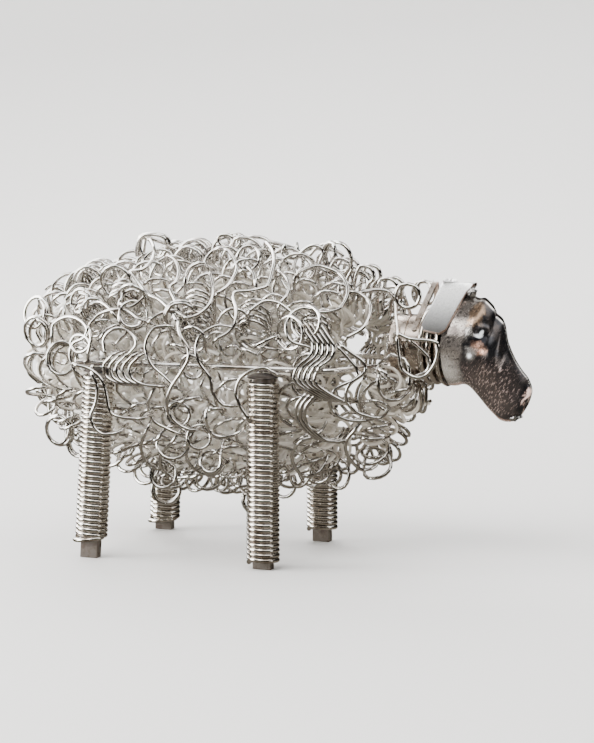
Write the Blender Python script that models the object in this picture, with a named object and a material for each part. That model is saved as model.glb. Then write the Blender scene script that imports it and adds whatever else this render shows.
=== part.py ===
"""Small sheep sculpture made of scrap metal.

Four flat bars wound with wire are the legs. Two rods run over the legs to a post in the chest, and
carry a fleece of coiled wire that is wound round them from tail to chest. A short barrel with
rings on it is the neck, and two dished plates make the head, with a bent strap over the crown.

The sheep faces +X and stands on Z = 0. Lengths are in metres.
"""

import math

import bmesh
import bpy
import numpy as np
from mathutils import Matrix, Vector

# Stance: where the legs meet the ground and where they end under the rods.
FRONT_FOOT_X = 0.0285
REAR_FOOT_X = -0.0285
REAR_LEG_RAKE = 0.0026
FRONT_TRACK = 0.050
REAR_TRACK = 0.054
TOP_TRACK = 0.050

# Legs: a flat bar inside a close winding, with a domed cap on the winding.
BAR_WIDTH = 0.0054
BAR_THICKNESS = 0.0030
WINDING_DIAMETER = 0.0101
WINDING_WIRE = 0.0015
WINDING_TOP = 0.0574
CAP_HEIGHT = 0.0013
FOOT_SHOWING = {"front_right": 0.0013, "rear_right": 0.0056, "front_left": 0.0032, "rear_left": 0.0030}
WINDING_SIDES = 7

# Frame: one rod along each side over the leg caps, turned in to the post in the chest.
ROD_DIAMETER = 0.0020
ROD_TAIL_END = -0.0335
ROD_TURN_IN = ((0.0480, 1.00), (0.0512, 0.86), (0.0540, 0.58), (0.0568, 0.30), (0.0595, 0.06))
POST_X = 0.0600
POST_DIAMETER = 0.0040
POST_BOTTOM = 0.0485
POST_TOP = 0.0700

# Fleece: a coil of wire wound round the body from tail to chest.
# Stations along the body: X, underside Z, top Z and half width, all to the outside of the wire.
WIRE_DIAMETER = 0.00095
COIL_DIAMETER = 0.0104
COIL_PITCH = 0.0126
TURN_POINTS = 5
WIRE_SIDES = 3
BODY_STATIONS = (
    (-0.0600, 0.0445, 0.0765, 0.0125),
    (-0.0530, 0.0375, 0.0830, 0.0185),
    (-0.0386, 0.0290, 0.0898, 0.0245),
    (-0.0200, 0.0205, 0.0948, 0.0285),
    (0.0050, 0.0162, 0.0980, 0.0300),
    (0.0300, 0.0185, 0.0955, 0.0285),
    (0.0470, 0.0230, 0.0905, 0.0245),
    (0.0615, 0.0305, 0.0835, 0.0200),
    (0.0665, 0.0330, 0.0700, 0.0165),
    (0.0712, 0.0340, 0.0560, 0.0110),
)
# How far along X the winding has come after so many times round the body, counted from its top.
# From the front legs on, it leaves room for the rods where they turn in to the post.
WINDING_ADVANCE = (
    (0.00, -0.0600),
    (7.75, 0.0284),
    (8.00, 0.0330),
    (8.25, 0.0355),
    (8.50, 0.0400),
    (8.75, 0.0402),
    (9.00, 0.0490),
    (9.25, 0.0615),
    (9.50, 0.0550),
    (9.75, 0.0625),
    (10.10, 0.0708),
)
FLEECE_LENGTHS = (("rear", 0.0, 3.5), ("middle", 3.5, 6.5), ("front", 6.5, 10.1))

# Neck: a tube from the post into the head, with rings round it.
NECK_AXIS_Z = 0.0665
NECK_DIAMETER = 0.0190
NECK_WALL = 0.0012
NECK_INSIDE_HEAD = 0.0030
NECK_RING_COUNT = 3
NECK_RING_WIRE = 0.0018
NECK_RING_PITCH = 0.0024

# Head: two dished plates that meet on the middle plane.
HEAD_BACK_X = 0.0795
PLATE_THICKNESS = 0.0007
BULGE_AT_BACK = 0.0122
EYE_HOLLOW = 0.0022

# Strap folded over the crown, and the narrow strip behind it, which lies on the neck rings.
# X values are from the back of the head, and Z values from the crown.
STRAP_FOLD_X = 0.0023
STRAP_END_X = -0.0020
STRAP_DROP = 0.0122
STRAP_WIDTH = 0.0090
STRAP_END_WIDTH = 0.0078
STRAP_CHAMFER = 0.0020
STRIP_FOLD_X = -0.0047
STRIP_END_X = -0.0083
STRIP_DROP = 0.0135
STRIP_WIDTH = 0.0016
STRAP_THICKNESS = 0.0010
FOLD_HALF_WIDTH = 0.0018

# Solder drops where the plates are joined at the crown and at the muzzle.
CROWN_DROP_SIZE = (0.0012, 0.0014, 0.0010)
MUZZLE_DROP_SIZE = (0.0024, 0.0014, 0.0008)
MUZZLE_DROP_X = 0.0186

# Touching pieces keep this gap.
GAP = 0.0003

SIDES = {"right": -1, "left": 1}
TAU = 2 * math.pi

COLOURS = {
    "bright_wire": ((0.78, 0.76, 0.73), 0.22, 1.0),
    "leg_winding": ((0.66, 0.64, 0.61), 0.26, 1.0),
    "dark_steel": ((0.17, 0.155, 0.145), 0.42, 1.0),
    "polished_rod": ((0.74, 0.74, 0.73), 0.14, 1.0),
    "neck_metal": ((0.36, 0.31, 0.27), 0.30, 1.0),
    "head_plate": ((0.33, 0.27, 0.25), 0.30, 1.0),
    "brushed_strap": ((0.80, 0.79, 0.77), 0.38, 1.0),
    "solder": ((0.52, 0.52, 0.50), 0.30, 1.0),
}


def clear_scene():
    for thing in list(bpy.data.objects):
        bpy.data.objects.remove(thing)


def material(name):
    made = bpy.data.materials.get(name)
    if made:
        return made
    colour, roughness, metallic = COLOURS[name]
    made = bpy.data.materials.new(name)
    made.use_nodes = True
    shader = made.node_tree.nodes["Principled BSDF"]
    shader.inputs["Base Color"].default_value = (*colour, 1.0)
    shader.inputs["Roughness"].default_value = roughness
    shader.inputs["Metallic"].default_value = metallic
    return made


def link(name, data, finish):
    made = bpy.data.objects.new(name, data)
    bpy.context.scene.collection.objects.link(made)
    data.materials.append(material(finish))
    return made


def solid(name, mesh, finish, crease_deg=40.0):
    """Turns a bmesh into a named object with its faces pointing out."""
    bmesh.ops.recalc_face_normals(mesh, faces=mesh.faces)
    data = bpy.data.meshes.new(name)
    mesh.to_mesh(data)
    mesh.free()
    data.shade_smooth()
    data.set_sharp_from_angle(angle=math.radians(crease_deg))
    return link(name, data, finish)


def loft(mesh, rings, closed_ends=True):
    """Joins rings of points, each a closed loop of the same count, and caps the two ends."""
    rows = [[mesh.verts.new(point) for point in ring] for ring in rings]
    for first, second in zip(rows, rows[1:]):
        count = len(first)
        for i in range(count):
            j = (i + 1) % count
            mesh.faces.new((first[i], first[j], second[j], second[i]))
    if closed_ends:
        mesh.faces.new(rows[0][::-1])
        mesh.faces.new(rows[-1])
    return rows


def circle_points(centre, radius, sides, across, up):
    return [
        centre + across * radius * math.cos(TAU * i / sides) + up * radius * math.sin(TAU * i / sides)
        for i in range(sides)
    ]


class Leg:
    """A leg's foot and top, and the line between them."""

    def __init__(self, end, side):
        front = end == "front"
        sign = SIDES[side]
        self.name = f"{end}_{side}"
        foot_x = FRONT_FOOT_X if front else REAR_FOOT_X
        rake = 0.0 if front else REAR_LEG_RAKE
        track = FRONT_TRACK if front else REAR_TRACK
        self.foot = Vector((foot_x, sign * track / 2, 0.0))
        self.top = Vector((foot_x + rake, sign * TOP_TRACK / 2, WINDING_TOP))

    def at(self, height):
        return self.foot.lerp(self.top, height / WINDING_TOP)


LEGS = [Leg(end, side) for end in ("front", "rear") for side in SIDES]


def cap_base():
    return WINDING_TOP + GAP


def rod_height():
    """The rods lie on the caps."""
    return cap_base() + CAP_HEIGHT + GAP + ROD_DIAMETER / 2


def make_leg_bar(leg):
    """The flat bar shows below the winding and ends just under the cap. It is cut flat on the ground."""
    mesh = bmesh.new()
    half_width, half_thickness = BAR_WIDTH / 2, BAR_THICKNESS / 2
    corners = [(-1, -1), (1, -1), (1, 1), (-1, 1)]
    rings = []
    for height in (0.0, WINDING_TOP):
        centre = leg.at(height)
        rings.append([centre + Vector((a * half_width, b * half_thickness, 0.0)) for a, b in corners])
    loft(mesh, rings)
    return solid(f"leg_bar_{leg.name}", mesh, "dark_steel")


def bore_radius():
    """The winding's inside clears the bar's corners at the middle of its flat sides."""
    corner = math.hypot(BAR_WIDTH, BAR_THICKNESS) / 2
    return (corner + GAP) / math.cos(math.pi / WINDING_SIDES)


def make_leg_winding(leg):
    """Close turns of wire round the bar: one rib for each turn, on a bore that clears the bar."""
    mesh = bmesh.new()
    foot = FOOT_SHOWING[leg.name]
    turns = round((WINDING_TOP - foot) / WINDING_WIRE)
    pitch = (WINDING_TOP - foot) / turns
    crest = WINDING_DIAMETER / 2
    root = crest - 0.38 * WINDING_WIRE
    across, up = Vector((1, 0, 0)), Vector((0, 1, 0))

    def ring(height, radius):
        return circle_points(leg.at(height), radius, WINDING_SIDES, across, up)

    rings = [ring(foot, root)]
    for turn in range(turns):
        rings.append(ring(foot + (turn + 0.5) * pitch, crest))
        rings.append(ring(foot + (turn + 1) * pitch, root))
    rings += [ring(WINDING_TOP, bore_radius()), ring(foot, bore_radius())]
    rows = loft(mesh, rings, closed_ends=False)
    for i in range(WINDING_SIDES):
        j = (i + 1) % WINDING_SIDES
        mesh.faces.new((rows[-1][i], rows[-1][j], rows[0][j], rows[0][i]))
    return solid(f"leg_winding_{leg.name}", mesh, "leg_winding", crease_deg=25.0)


def make_leg_cap(leg):
    """A low dome that closes the winding's upper end."""
    mesh = bmesh.new()
    across, up = Vector((1, 0, 0)), Vector((0, 1, 0))
    radius = WINDING_DIAMETER / 2
    rings = []
    for rise, share in ((0.0, 0.96), (0.45, 0.92), (0.85, 0.62), (1.0, 0.30)):
        centre = leg.top + Vector((0, 0, GAP + rise * CAP_HEIGHT))
        rings.append(circle_points(centre, radius * share, 10, across, up))
    loft(mesh, rings)
    return solid(f"leg_cap_{leg.name}", mesh, "dark_steel", crease_deg=60.0)


def sweep(mesh, points, radius, sides):
    """A round bar along a line of points, with flat ends. Its section is carried along without twist."""
    points = [Vector(point) for point in points]
    across = None
    rings = []
    for i, point in enumerate(points):
        before = points[max(i - 1, 0)]
        after = points[min(i + 1, len(points) - 1)]
        along = (after - before).normalized()
        if across is None:
            across = along.orthogonal().normalized()
        across = (across - along * across.dot(along)).normalized()
        rings.append(circle_points(point, radius, sides, across, along.cross(across)))
    loft(mesh, rings)


def rod_route(side):
    """Along the top of both legs on one side, then turned in to the post."""
    sign = SIDES[side]
    outer = TOP_TRACK / 2
    at_post = POST_DIAMETER / 2 + ROD_DIAMETER / 2 + GAP
    points = [(ROD_TAIL_END, outer)]
    points += [(x, at_post + share * (outer - at_post)) for x, share in ROD_TURN_IN]
    points.append((POST_X + 0.5 * ROD_DIAMETER, at_post))
    return [Vector((x, sign * y, rod_height())) for x, y in points]


def make_frame():
    for side in SIDES:
        mesh = bmesh.new()
        sweep(mesh, rod_route(side), ROD_DIAMETER / 2, 8)
        solid(f"side_rod_{side}", mesh, "polished_rod")
    mesh = bmesh.new()
    sweep(mesh, [(POST_X, 0, POST_BOTTOM), (POST_X, 0, POST_TOP)], POST_DIAMETER / 2, 14)
    solid("chest_post", mesh, "polished_rod")


def in_plane_reach(reach, x_gap):
    """What is left of a reach in the plane of a coil that passes at this distance along X."""
    return math.sqrt(max(0.0, reach ** 2 - x_gap ** 2))


def push_off(y, z, centre_y, centre_z, reach):
    """Moves a point of the coil's middle line, in its own plane, out of a circle."""
    off_y, off_z = y - centre_y, z - centre_z
    distance = math.hypot(off_y, off_z)
    if distance >= reach or distance == 0.0:
        return y, z
    return centre_y + off_y * reach / distance, centre_z + off_z * reach / distance


def coil_reach():
    """From the coil's middle line to the outside of its wire, with the gap that it keeps."""
    return COIL_DIAMETER / 2 + GAP


def clear_middle_line(x, y, z):
    """The coil passes inside the legs and rods, and round the post, the neck and the neck rings."""
    side = 1 if y >= 0 else -1
    for leg in LEGS:
        if leg.foot.y * side < 0:
            continue
        axis = leg.at(min(z, WINDING_TOP))
        reach = in_plane_reach(WINDING_DIAMETER / 2 + coil_reach(), x - axis.x)
        y, z = push_off(y, z, axis.y, min(z, WINDING_TOP), reach)
    route = rod_route("left" if side > 0 else "right")
    rod_y = float(np.interp(x, [p.x for p in route], [p.y * side for p in route])) * side
    past_end = max(route[0].x - x, x - ROD_TURN_IN[1][0], 0.0)
    reach = in_plane_reach(ROD_DIAMETER / 2 + coil_reach(), past_end)
    y, z = push_off(y, z, rod_y, rod_height(), reach)
    before_neck = max(neck_start() - x, 0.0)
    reach = in_plane_reach(NECK_DIAMETER / 2 + coil_reach(), before_neck)
    y, z = push_off(y, z, 0.0, NECK_AXIS_Z, reach)
    before_rings = max(first_ring_x() - NECK_RING_WIRE / 2 - x, 0.0)
    reach = in_plane_reach(ring_centre_radius() + NECK_RING_WIRE / 2 + coil_reach(), before_rings)
    y, z = push_off(y, z, 0.0, NECK_AXIS_Z, reach)
    reach = in_plane_reach(POST_DIAMETER / 2 + coil_reach(), x - POST_X)
    return push_off(y, z, 0.0, min(max(z, POST_BOTTOM), POST_TOP), reach)


def middle_line(times_round):
    """Where the middle of the coil is after so many times round the body."""
    x = float(np.interp(times_round, *zip(*WINDING_ADVANCE)))
    stations = list(zip(*BODY_STATIONS))
    low, high, half_width = (float(np.interp(x, stations[0], values)) for values in stations[1:])
    inset = COIL_DIAMETER / 2
    turn = TAU * times_round
    y = (half_width - inset) * math.sin(turn)
    z = (low + high) / 2 + ((high - low) / 2 - inset) * math.cos(turn)
    y, z = clear_middle_line(x, y, z)
    return Vector((x, y, z)), Vector((0, math.sin(turn), math.cos(turn)))


def coil_wire(start, end):
    """The wire of one length of fleece: small turns round the middle line, evenly spaced along it."""
    fine = 600
    places = [start + (end - start) * i / fine for i in range(fine + 1)]
    line = [middle_line(place) for place in places]
    travelled = [0.0]
    for (first, _), (second, _) in zip(line, line[1:]):
        travelled.append(travelled[-1] + (second - first).length)
    count = round(travelled[-1] / COIL_PITCH * TURN_POINTS)
    radius = COIL_DIAMETER / 2 - WIRE_DIAMETER / 2
    step = (end - start) / fine
    points = []
    for i in range(count):
        place = float(np.interp(travelled[-1] * i / count, travelled, places))
        centre, outward = middle_line(place)
        along = (middle_line(place + step)[0] - middle_line(place - step)[0]).normalized()
        outward = (outward - along * outward.dot(along)).normalized()
        across = along.cross(outward)
        turn = TAU * i / TURN_POINTS
        points.append(centre + (outward * math.cos(turn) + across * math.sin(turn)) * radius)
    return points


def make_fleece():
    for name, start, end in FLEECE_LENGTHS:
        mesh = bmesh.new()
        sweep(mesh, coil_wire(start, end), WIRE_DIAMETER / 2, WIRE_SIDES)
        solid(f"fleece_wire_{name}", mesh, "bright_wire", crease_deg=180.0)


def neck_start():
    return POST_X + POST_DIAMETER / 2 + GAP


def neck_end():
    return HEAD_BACK_X + NECK_INSIDE_HEAD


def make_neck():
    """A tube along X, and rings round it that stop short of the head."""
    across, up = Vector((0, 1, 0)), Vector((0, 0, 1))
    mesh = bmesh.new()
    radius = NECK_DIAMETER / 2
    edge = NECK_WALL / 2
    rings = []
    for x, r in (
        (neck_start(), radius - NECK_WALL),
        (neck_start(), radius - edge),
        (neck_start() + edge, radius),
        (neck_end() - edge, radius),
        (neck_end(), radius - edge),
        (neck_end(), radius - NECK_WALL),
    ):
        rings.append(circle_points(Vector((x, 0, NECK_AXIS_Z)), r, 20, across, up))
    rows = loft(mesh, rings, closed_ends=False)
    for i in range(len(rows[0])):
        j = (i + 1) % len(rows[0])
        mesh.faces.new((rows[-1][i], rows[-1][j], rows[0][j], rows[0][i]))
    solid("neck_barrel", mesh, "neck_metal")

    for number in range(NECK_RING_COUNT):
        make_neck_ring(number + 1, first_ring_x() + number * NECK_RING_PITCH)


def first_ring_x():
    """The rings stand in a row that ends just behind the head."""
    return HEAD_BACK_X - PLATE_THICKNESS - GAP - NECK_RING_WIRE / 2 - (NECK_RING_COUNT - 1) * NECK_RING_PITCH


def ring_centre_radius():
    return NECK_DIAMETER / 2 + GAP + NECK_RING_WIRE / 2


def make_neck_ring(number, x):
    """One ring of thick wire round the barrel."""
    sides, section_sides = 16, 5
    section = NECK_RING_WIRE / 2
    rows = []
    mesh = bmesh.new()
    for i in range(sides):
        turn = TAU * i / sides
        outward = Vector((0, math.cos(turn), math.sin(turn)))
        centre = Vector((x, 0, NECK_AXIS_Z)) + outward * ring_centre_radius()
        points = circle_points(centre, section, section_sides, Vector((1, 0, 0)), outward)
        rows.append([mesh.verts.new(point) for point in points])
    for i in range(sides):
        first, second = rows[i], rows[(i + 1) % sides]
        for j in range(section_sides):
            k = (j + 1) % section_sides
            mesh.faces.new((first[j], first[k], second[k], second[j]))
    solid(f"neck_ring_{number}", mesh, "polished_rod")


# Head outline, from the neck to the muzzle: jaw point, brow point and how far the plate bulges.
# Points are (X from the back of the head, Z), with the bulge as a share of the bulge at the back.
HEAD_STATIONS = (
    ((0.0000, 0.0548), (0.0006, 0.0846), 1.00),
    ((0.0030, 0.0556), (0.0048, 0.0840), 0.93),
    ((0.0054, 0.0549), (0.0086, 0.0826), 0.84),
    ((0.0078, 0.0529), (0.0118, 0.0804), 0.72),
    ((0.0098, 0.0506), (0.0136, 0.0772), 0.58),
    ((0.0116, 0.0486), (0.0159, 0.0742), 0.45),
    ((0.0134, 0.0468), (0.0171, 0.0690), 0.35),
    ((0.0152, 0.0458), (0.0194, 0.0640), 0.28),
    ((0.0174, 0.0456), (0.0222, 0.0602), 0.23),
    ((0.0196, 0.0460), (0.0244, 0.0558), 0.18),
    ((0.0214, 0.0476), (0.0238, 0.0522), 0.12),
)
# The swell of a plate from jaw to brow, as shares of its full bulge.
PLATE_SWELL = (
    (0.00, 0.00),
    (0.08, 0.50),
    (0.22, 0.84),
    (0.38, 0.98),
    (0.52, 0.95),
    (0.66, 0.76),
    (0.80, 0.46),
    (0.92, 0.18),
    (1.00, 0.00),
)
EYE_STATION = 3
EYE_SHARE = 0.62


def plate_bulge(station, share, swell, bulge):
    """How far the plate stands off the middle plane, with a hollow where the eye is."""
    near_eye = ((station - EYE_STATION) / 1.1) ** 2 + ((share - EYE_SHARE) / 0.15) ** 2
    return max(0.0, bulge * BULGE_AT_BACK * swell - EYE_HOLLOW * math.exp(-near_eye))


def make_head_plate(side):
    """One dished plate. The pair meets on the middle plane with a gap."""
    sign = SIDES[side]
    mesh = bmesh.new()
    grid = []
    for station, (jaw, brow, bulge) in enumerate(HEAD_STATIONS):
        row = []
        low, high = Vector((HEAD_BACK_X + jaw[0], jaw[1])), Vector((HEAD_BACK_X + brow[0], brow[1]))
        inset = (high - low).normalized() * PLATE_THICKNESS
        low, high = low + inset, high - inset
        for share, swell in PLATE_SWELL:
            x, z = low.lerp(high, share)
            y = GAP / 2 + plate_bulge(station, share, swell, bulge)
            row.append(mesh.verts.new((x, sign * y, z)))
        grid.append(row)
    for first, second in zip(grid, grid[1:]):
        for i in range(len(PLATE_SWELL) - 1):
            corners = (first[i], first[i + 1], second[i + 1], second[i])
            mesh.faces.new(corners if sign > 0 else corners[::-1])
    data = bpy.data.meshes.new(f"head_plate_{side}")
    mesh.to_mesh(data)
    mesh.free()
    data.shade_smooth()
    plate = link(f"head_plate_{side}", data, "head_plate")
    wall = plate.modifiers.new("plate thickness", "SOLIDIFY")
    wall.thickness = PLATE_THICKNESS
    wall.offset = 1.0
    wall.use_rim = True
    return plate


def head_line(line, x):
    """Z of the jaw line (0) or the brow line (1) at a distance in front of the head's back."""
    points = [station[line] for station in HEAD_STATIONS[:-1]]
    return float(np.interp(x, *zip(*points)))


def crown_z():
    return HEAD_STATIONS[0][1][1]


def head_section():
    """Half of the head's outside at its back, as Y and Z of points from jaw to brow."""
    jaw, brow, bulge = HEAD_STATIONS[0]
    depth = bulge * BULGE_AT_BACK
    wall = 1.25 * PLATE_THICKNESS
    return [(GAP / 2 + depth * swell + wall, jaw[1] + share * (brow[1] - jaw[1])) for share, swell in PLATE_SWELL[1:-1]]


def ring_section():
    """Half of the outside of a neck ring, as Y and Z."""
    radius = ring_centre_radius() + NECK_RING_WIRE / 2
    turns = [math.pi * i / 24 for i in range(12)]
    return [(radius * math.cos(turn), NECK_AXIS_Z + radius * math.sin(turn)) for turn in turns]


def spread(fold_z, drop, section):
    """How far out a flat side ends that starts at the fold and lies on a section."""
    slope = max((y + GAP - FOLD_HALF_WIDTH) / (fold_z - z) for y, z in section if z < fold_z - drop / 4)
    return FOLD_HALF_WIDTH + slope * drop


def folded_strip(name, fold_x, end_x, drop, width, end_width, chamfer, section, finish):
    """A flat strip folded over the crown: two flat sides that spread downward from a short bend."""
    ridge_z = crown_z() + GAP
    fold_z = ridge_z - FOLD_HALF_WIDTH / 2
    fold = Vector((HEAD_BACK_X + fold_x, FOLD_HALF_WIDTH, fold_z))
    end = Vector((HEAD_BACK_X + end_x, spread(fold_z, drop, section), fold_z - drop))
    along = (end - fold).normalized()
    across = Vector((1, 0, 0))
    across = (across - along * along.x).normalized()
    outer = across.cross(along)
    outer = outer * (STRAP_THICKNESS if outer.y > 0 else -STRAP_THICKNESS)
    half, end_half = width / 2, end_width / 2
    side = [
        fold - across * half,
        end - across * end_half - along * chamfer,
        end - across * (end_half - chamfer),
        end + across * (end_half - chamfer),
        end + across * end_half - along * chamfer,
        fold + across * half,
    ]
    ridge = [Vector((side[0].x, 0.0, ridge_z)), Vector((side[-1].x, 0.0, ridge_z))]

    mesh = bmesh.new()
    ridge_inner = [mesh.verts.new(point) for point in ridge]
    ridge_outer = [mesh.verts.new(point + Vector((0, 0, STRAP_THICKNESS))) for point in ridge]
    for sign in SIDES.values():
        flip = Vector((1, sign, 1))
        inner = [mesh.verts.new(point * flip) for point in side]
        outside = [mesh.verts.new((point + outer) * flip) for point in side]
        mesh.faces.new(inner)
        mesh.faces.new(outside)
        for i in range(len(side) - 1):
            mesh.faces.new((inner[i], inner[i + 1], outside[i + 1], outside[i]))
        mesh.faces.new((inner[0], inner[-1], ridge_inner[1], ridge_inner[0]))
        mesh.faces.new((outside[0], outside[-1], ridge_outer[1], ridge_outer[0]))
        mesh.faces.new((inner[0], outside[0], ridge_outer[0], ridge_inner[0]))
        mesh.faces.new((inner[-1], outside[-1], ridge_outer[1], ridge_inner[1]))
    return solid(name, mesh, finish, crease_deg=35.0)


def make_strap():
    folded_strip(
        "ear_strap",
        STRAP_FOLD_X,
        STRAP_END_X,
        STRAP_DROP,
        STRAP_WIDTH,
        STRAP_END_WIDTH,
        STRAP_CHAMFER,
        head_section(),
        "brushed_strap",
    )
    folded_strip(
        "nape_strip",
        STRIP_FOLD_X,
        STRIP_END_X,
        STRIP_DROP,
        STRIP_WIDTH,
        STRIP_WIDTH,
        STRIP_WIDTH / 4,
        ring_section(),
        "neck_metal",
    )


def make_drop(name, centre, size):
    mesh = bmesh.new()
    bmesh.ops.create_icosphere(mesh, subdivisions=2, radius=1.0)
    for vert in mesh.verts:
        vert.co = Vector(centre) + vert.co * Vector(size)
    solid(name, mesh, "solder", crease_deg=180.0)


def make_drops():
    """One drop sits on the crown in front of the strap, the other under the muzzle."""
    crown_x = STRAP_FOLD_X + STRAP_WIDTH / 2 + GAP + CROWN_DROP_SIZE[0]
    above = head_line(1, crown_x) + GAP + 1.25 * CROWN_DROP_SIZE[2]
    make_drop("solder_drop_crown", (HEAD_BACK_X + crown_x, 0.0, above), CROWN_DROP_SIZE)
    below = head_line(0, MUZZLE_DROP_X) - GAP - 1.1 * MUZZLE_DROP_SIZE[2]
    make_drop("solder_drop_muzzle", (HEAD_BACK_X + MUZZLE_DROP_X, 0.0, below), MUZZLE_DROP_SIZE)


def stand_on_middle():
    """Moves everything so that the middle of the whole box is over the origin, feet on Z = 0."""
    bpy.context.view_layer.update()
    graph = bpy.context.evaluated_depsgraph_get()
    corners = []
    for thing in bpy.context.scene.objects:
        shape = thing.evaluated_get(graph)
        corners += [shape.matrix_world @ Vector(corner) for corner in shape.bound_box]
    low = [min(c[i] for c in corners) for i in range(3)]
    high = [max(c[i] for c in corners) for i in range(3)]
    shift = Vector((-(low[0] + high[0]) / 2, -(low[1] + high[1]) / 2, -low[2]))
    for thing in bpy.context.scene.objects:
        thing.data.transform(Matrix.Translation(shift))


def main():
    clear_scene()
    for leg in LEGS:
        make_leg_bar(leg)
        make_leg_winding(leg)
        make_leg_cap(leg)
    make_frame()
    make_fleece()
    make_neck()
    for side in SIDES:
        make_head_plate(side)
    make_strap()
    make_drops()
    stand_on_middle()


main()
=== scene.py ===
import math
import random

import bmesh
import bpy
import numpy as np
from bpy.props import FloatProperty, FloatVectorProperty, IntProperty, PointerProperty
from mathutils import Matrix, Vector, noise


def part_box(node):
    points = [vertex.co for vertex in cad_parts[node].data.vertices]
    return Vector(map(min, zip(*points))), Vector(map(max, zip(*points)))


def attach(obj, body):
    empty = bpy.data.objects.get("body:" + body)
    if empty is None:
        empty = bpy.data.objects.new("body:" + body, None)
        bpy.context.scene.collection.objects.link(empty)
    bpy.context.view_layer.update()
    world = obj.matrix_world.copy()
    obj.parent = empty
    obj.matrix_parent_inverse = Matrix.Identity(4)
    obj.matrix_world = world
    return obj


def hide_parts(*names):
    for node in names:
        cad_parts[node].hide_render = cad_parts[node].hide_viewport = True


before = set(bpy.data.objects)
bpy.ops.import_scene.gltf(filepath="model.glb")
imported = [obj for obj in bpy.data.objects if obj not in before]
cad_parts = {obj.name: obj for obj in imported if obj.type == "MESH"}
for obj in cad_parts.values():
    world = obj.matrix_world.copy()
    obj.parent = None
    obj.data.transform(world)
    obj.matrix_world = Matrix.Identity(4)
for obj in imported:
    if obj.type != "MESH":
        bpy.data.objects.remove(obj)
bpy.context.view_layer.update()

bl_info = {
    "name": "Scrap metal sheep",
    "version": (1, 0, 0),
    "blender": (4, 5, 0),
    "location": "View3D > Sidebar > Sheep",
    "description": "Builds the visible pieces of a small sheep made of wire, rod and sheet metal",
    "category": "Object",
}

TAU = 2 * math.pi
MM = 0.001
SIDES = {"right": -1, "left": 1}

# The sheep's own measures start on the ground, midway between its feet.
# Front feet stand this far ahead of that point.
FRONT_FOOT_X = 28.5
REAR_FOOT_X = -28.5
# How far out the feet stand, and how far out the tops of all legs and the rods are.
FOOT_Y = {"front": 25.0, "rear": 27.0}
TRACK = 25.0
# Height of the rods, X of the post and height of the neck's axis.
ROD_Z = 61.0
POST_X = 60.0
NECK_Z = 66.5
FOOT_LOW, FOOT_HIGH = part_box("leg_bar_front_right")
FAR_LOW, FAR_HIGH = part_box("leg_bar_front_left")
SHIFT = Vector(
    (
        (FOOT_LOW[0] + FOOT_HIGH[0]) / 2 - FRONT_FOOT_X * MM,
        (FOOT_LOW[1] + FOOT_HIGH[1] + FAR_LOW[1] + FAR_HIGH[1]) / 4,
        0.0,
    )
)

# The viewpoint, in the sheep's own measures in mm.
VIEW_FROM = Vector((259.9, -584.7, 119.1))
VIEW_TURN = math.radians(21.5)
VIEW_DROP = math.radians(5.62)
VIEW_FOCAL = 2046.0
IMAGE_SIZE = (594, 743)


def place(x, y, z):
    """A point given in mm in the sheep's own measures."""
    return Vector((x, y, z)) * MM + SHIFT


def view_axes():
    """Ahead, to the right and up, as seen from the viewpoint."""
    ahead = Vector((-math.sin(VIEW_TURN), math.cos(VIEW_TURN), 0.0)) * math.cos(VIEW_DROP)
    ahead.z = -math.sin(VIEW_DROP)
    right = Vector((math.cos(VIEW_TURN), math.sin(VIEW_TURN), 0.0))
    return ahead, right, right.cross(ahead)


def level_axes():
    """Ahead and to the right of the viewpoint, both level."""
    ahead, right, up = view_axes()
    return Vector((ahead.x, ahead.y, 0)).normalized(), right


# Small helpers for meshes, curves and finished pieces.


def new_object(name, data, finish):
    made = bpy.data.objects.new(name, data)
    bpy.context.scene.collection.objects.link(made)
    data.materials.clear()
    data.materials.append(finish)
    return made


def mesh_object(name, mesh, finish, crease_deg):
    """A finished object of a mesh, smooth except where it turns by more than an angle in degrees."""
    bmesh.ops.recalc_face_normals(mesh, faces=mesh.faces)
    data = bpy.data.meshes.new(name)
    mesh.to_mesh(data)
    mesh.free()
    data.shade_smooth()
    data.set_sharp_from_angle(angle=math.radians(crease_deg))
    return new_object(name, data, finish)


def settle(piece, slot, *nodes):
    """The piece rides on the sheep and stands for its solids."""
    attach(piece, "root")
    if nodes:
        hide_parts(*nodes)


def flatten(piece):
    """Makes the modifiers real and leaves a plain mesh."""
    graph = bpy.context.evaluated_depsgraph_get()
    data = bpy.data.meshes.new_from_object(piece.evaluated_get(graph), depsgraph=graph)
    finish = piece.data.materials[0] if len(piece.data.materials) else None
    name = piece.name
    bpy.data.objects.remove(piece)
    data.name = name
    made = bpy.data.objects.new(name, data)
    bpy.context.scene.collection.objects.link(made)
    if finish and not len(data.materials):
        data.materials.append(finish)
    return made


def fill(tree, node, inputs):
    """Sets each named input of a node to a value, or joins it to the output of another node."""
    for key, value in inputs.items():
        if isinstance(value, bpy.types.NodeSocket):
            tree.links.new(value, node.inputs[key])
        else:
            node.inputs[key].default_value = value
    return node


def add_node(tree, kind, inputs=None, **settings):
    made = tree.nodes.new(kind)
    for name, value in settings.items():
        setattr(made, name, value)
    return fill(tree, made, inputs or {})


def geometry_tree(name, inputs, output):
    """An empty tree, the values given to it, and its end."""
    tree = bpy.data.node_groups.new(name, "GeometryNodeTree")
    for socket, kind in inputs:
        tree.interface.new_socket(socket, in_out="INPUT", socket_type=f"NodeSocket{kind}")
    tree.interface.new_socket(output, in_out="OUTPUT", socket_type="NodeSocketGeometry")
    return tree, add_node(tree, "NodeGroupInput").outputs, add_node(tree, "NodeGroupOutput")


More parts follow.
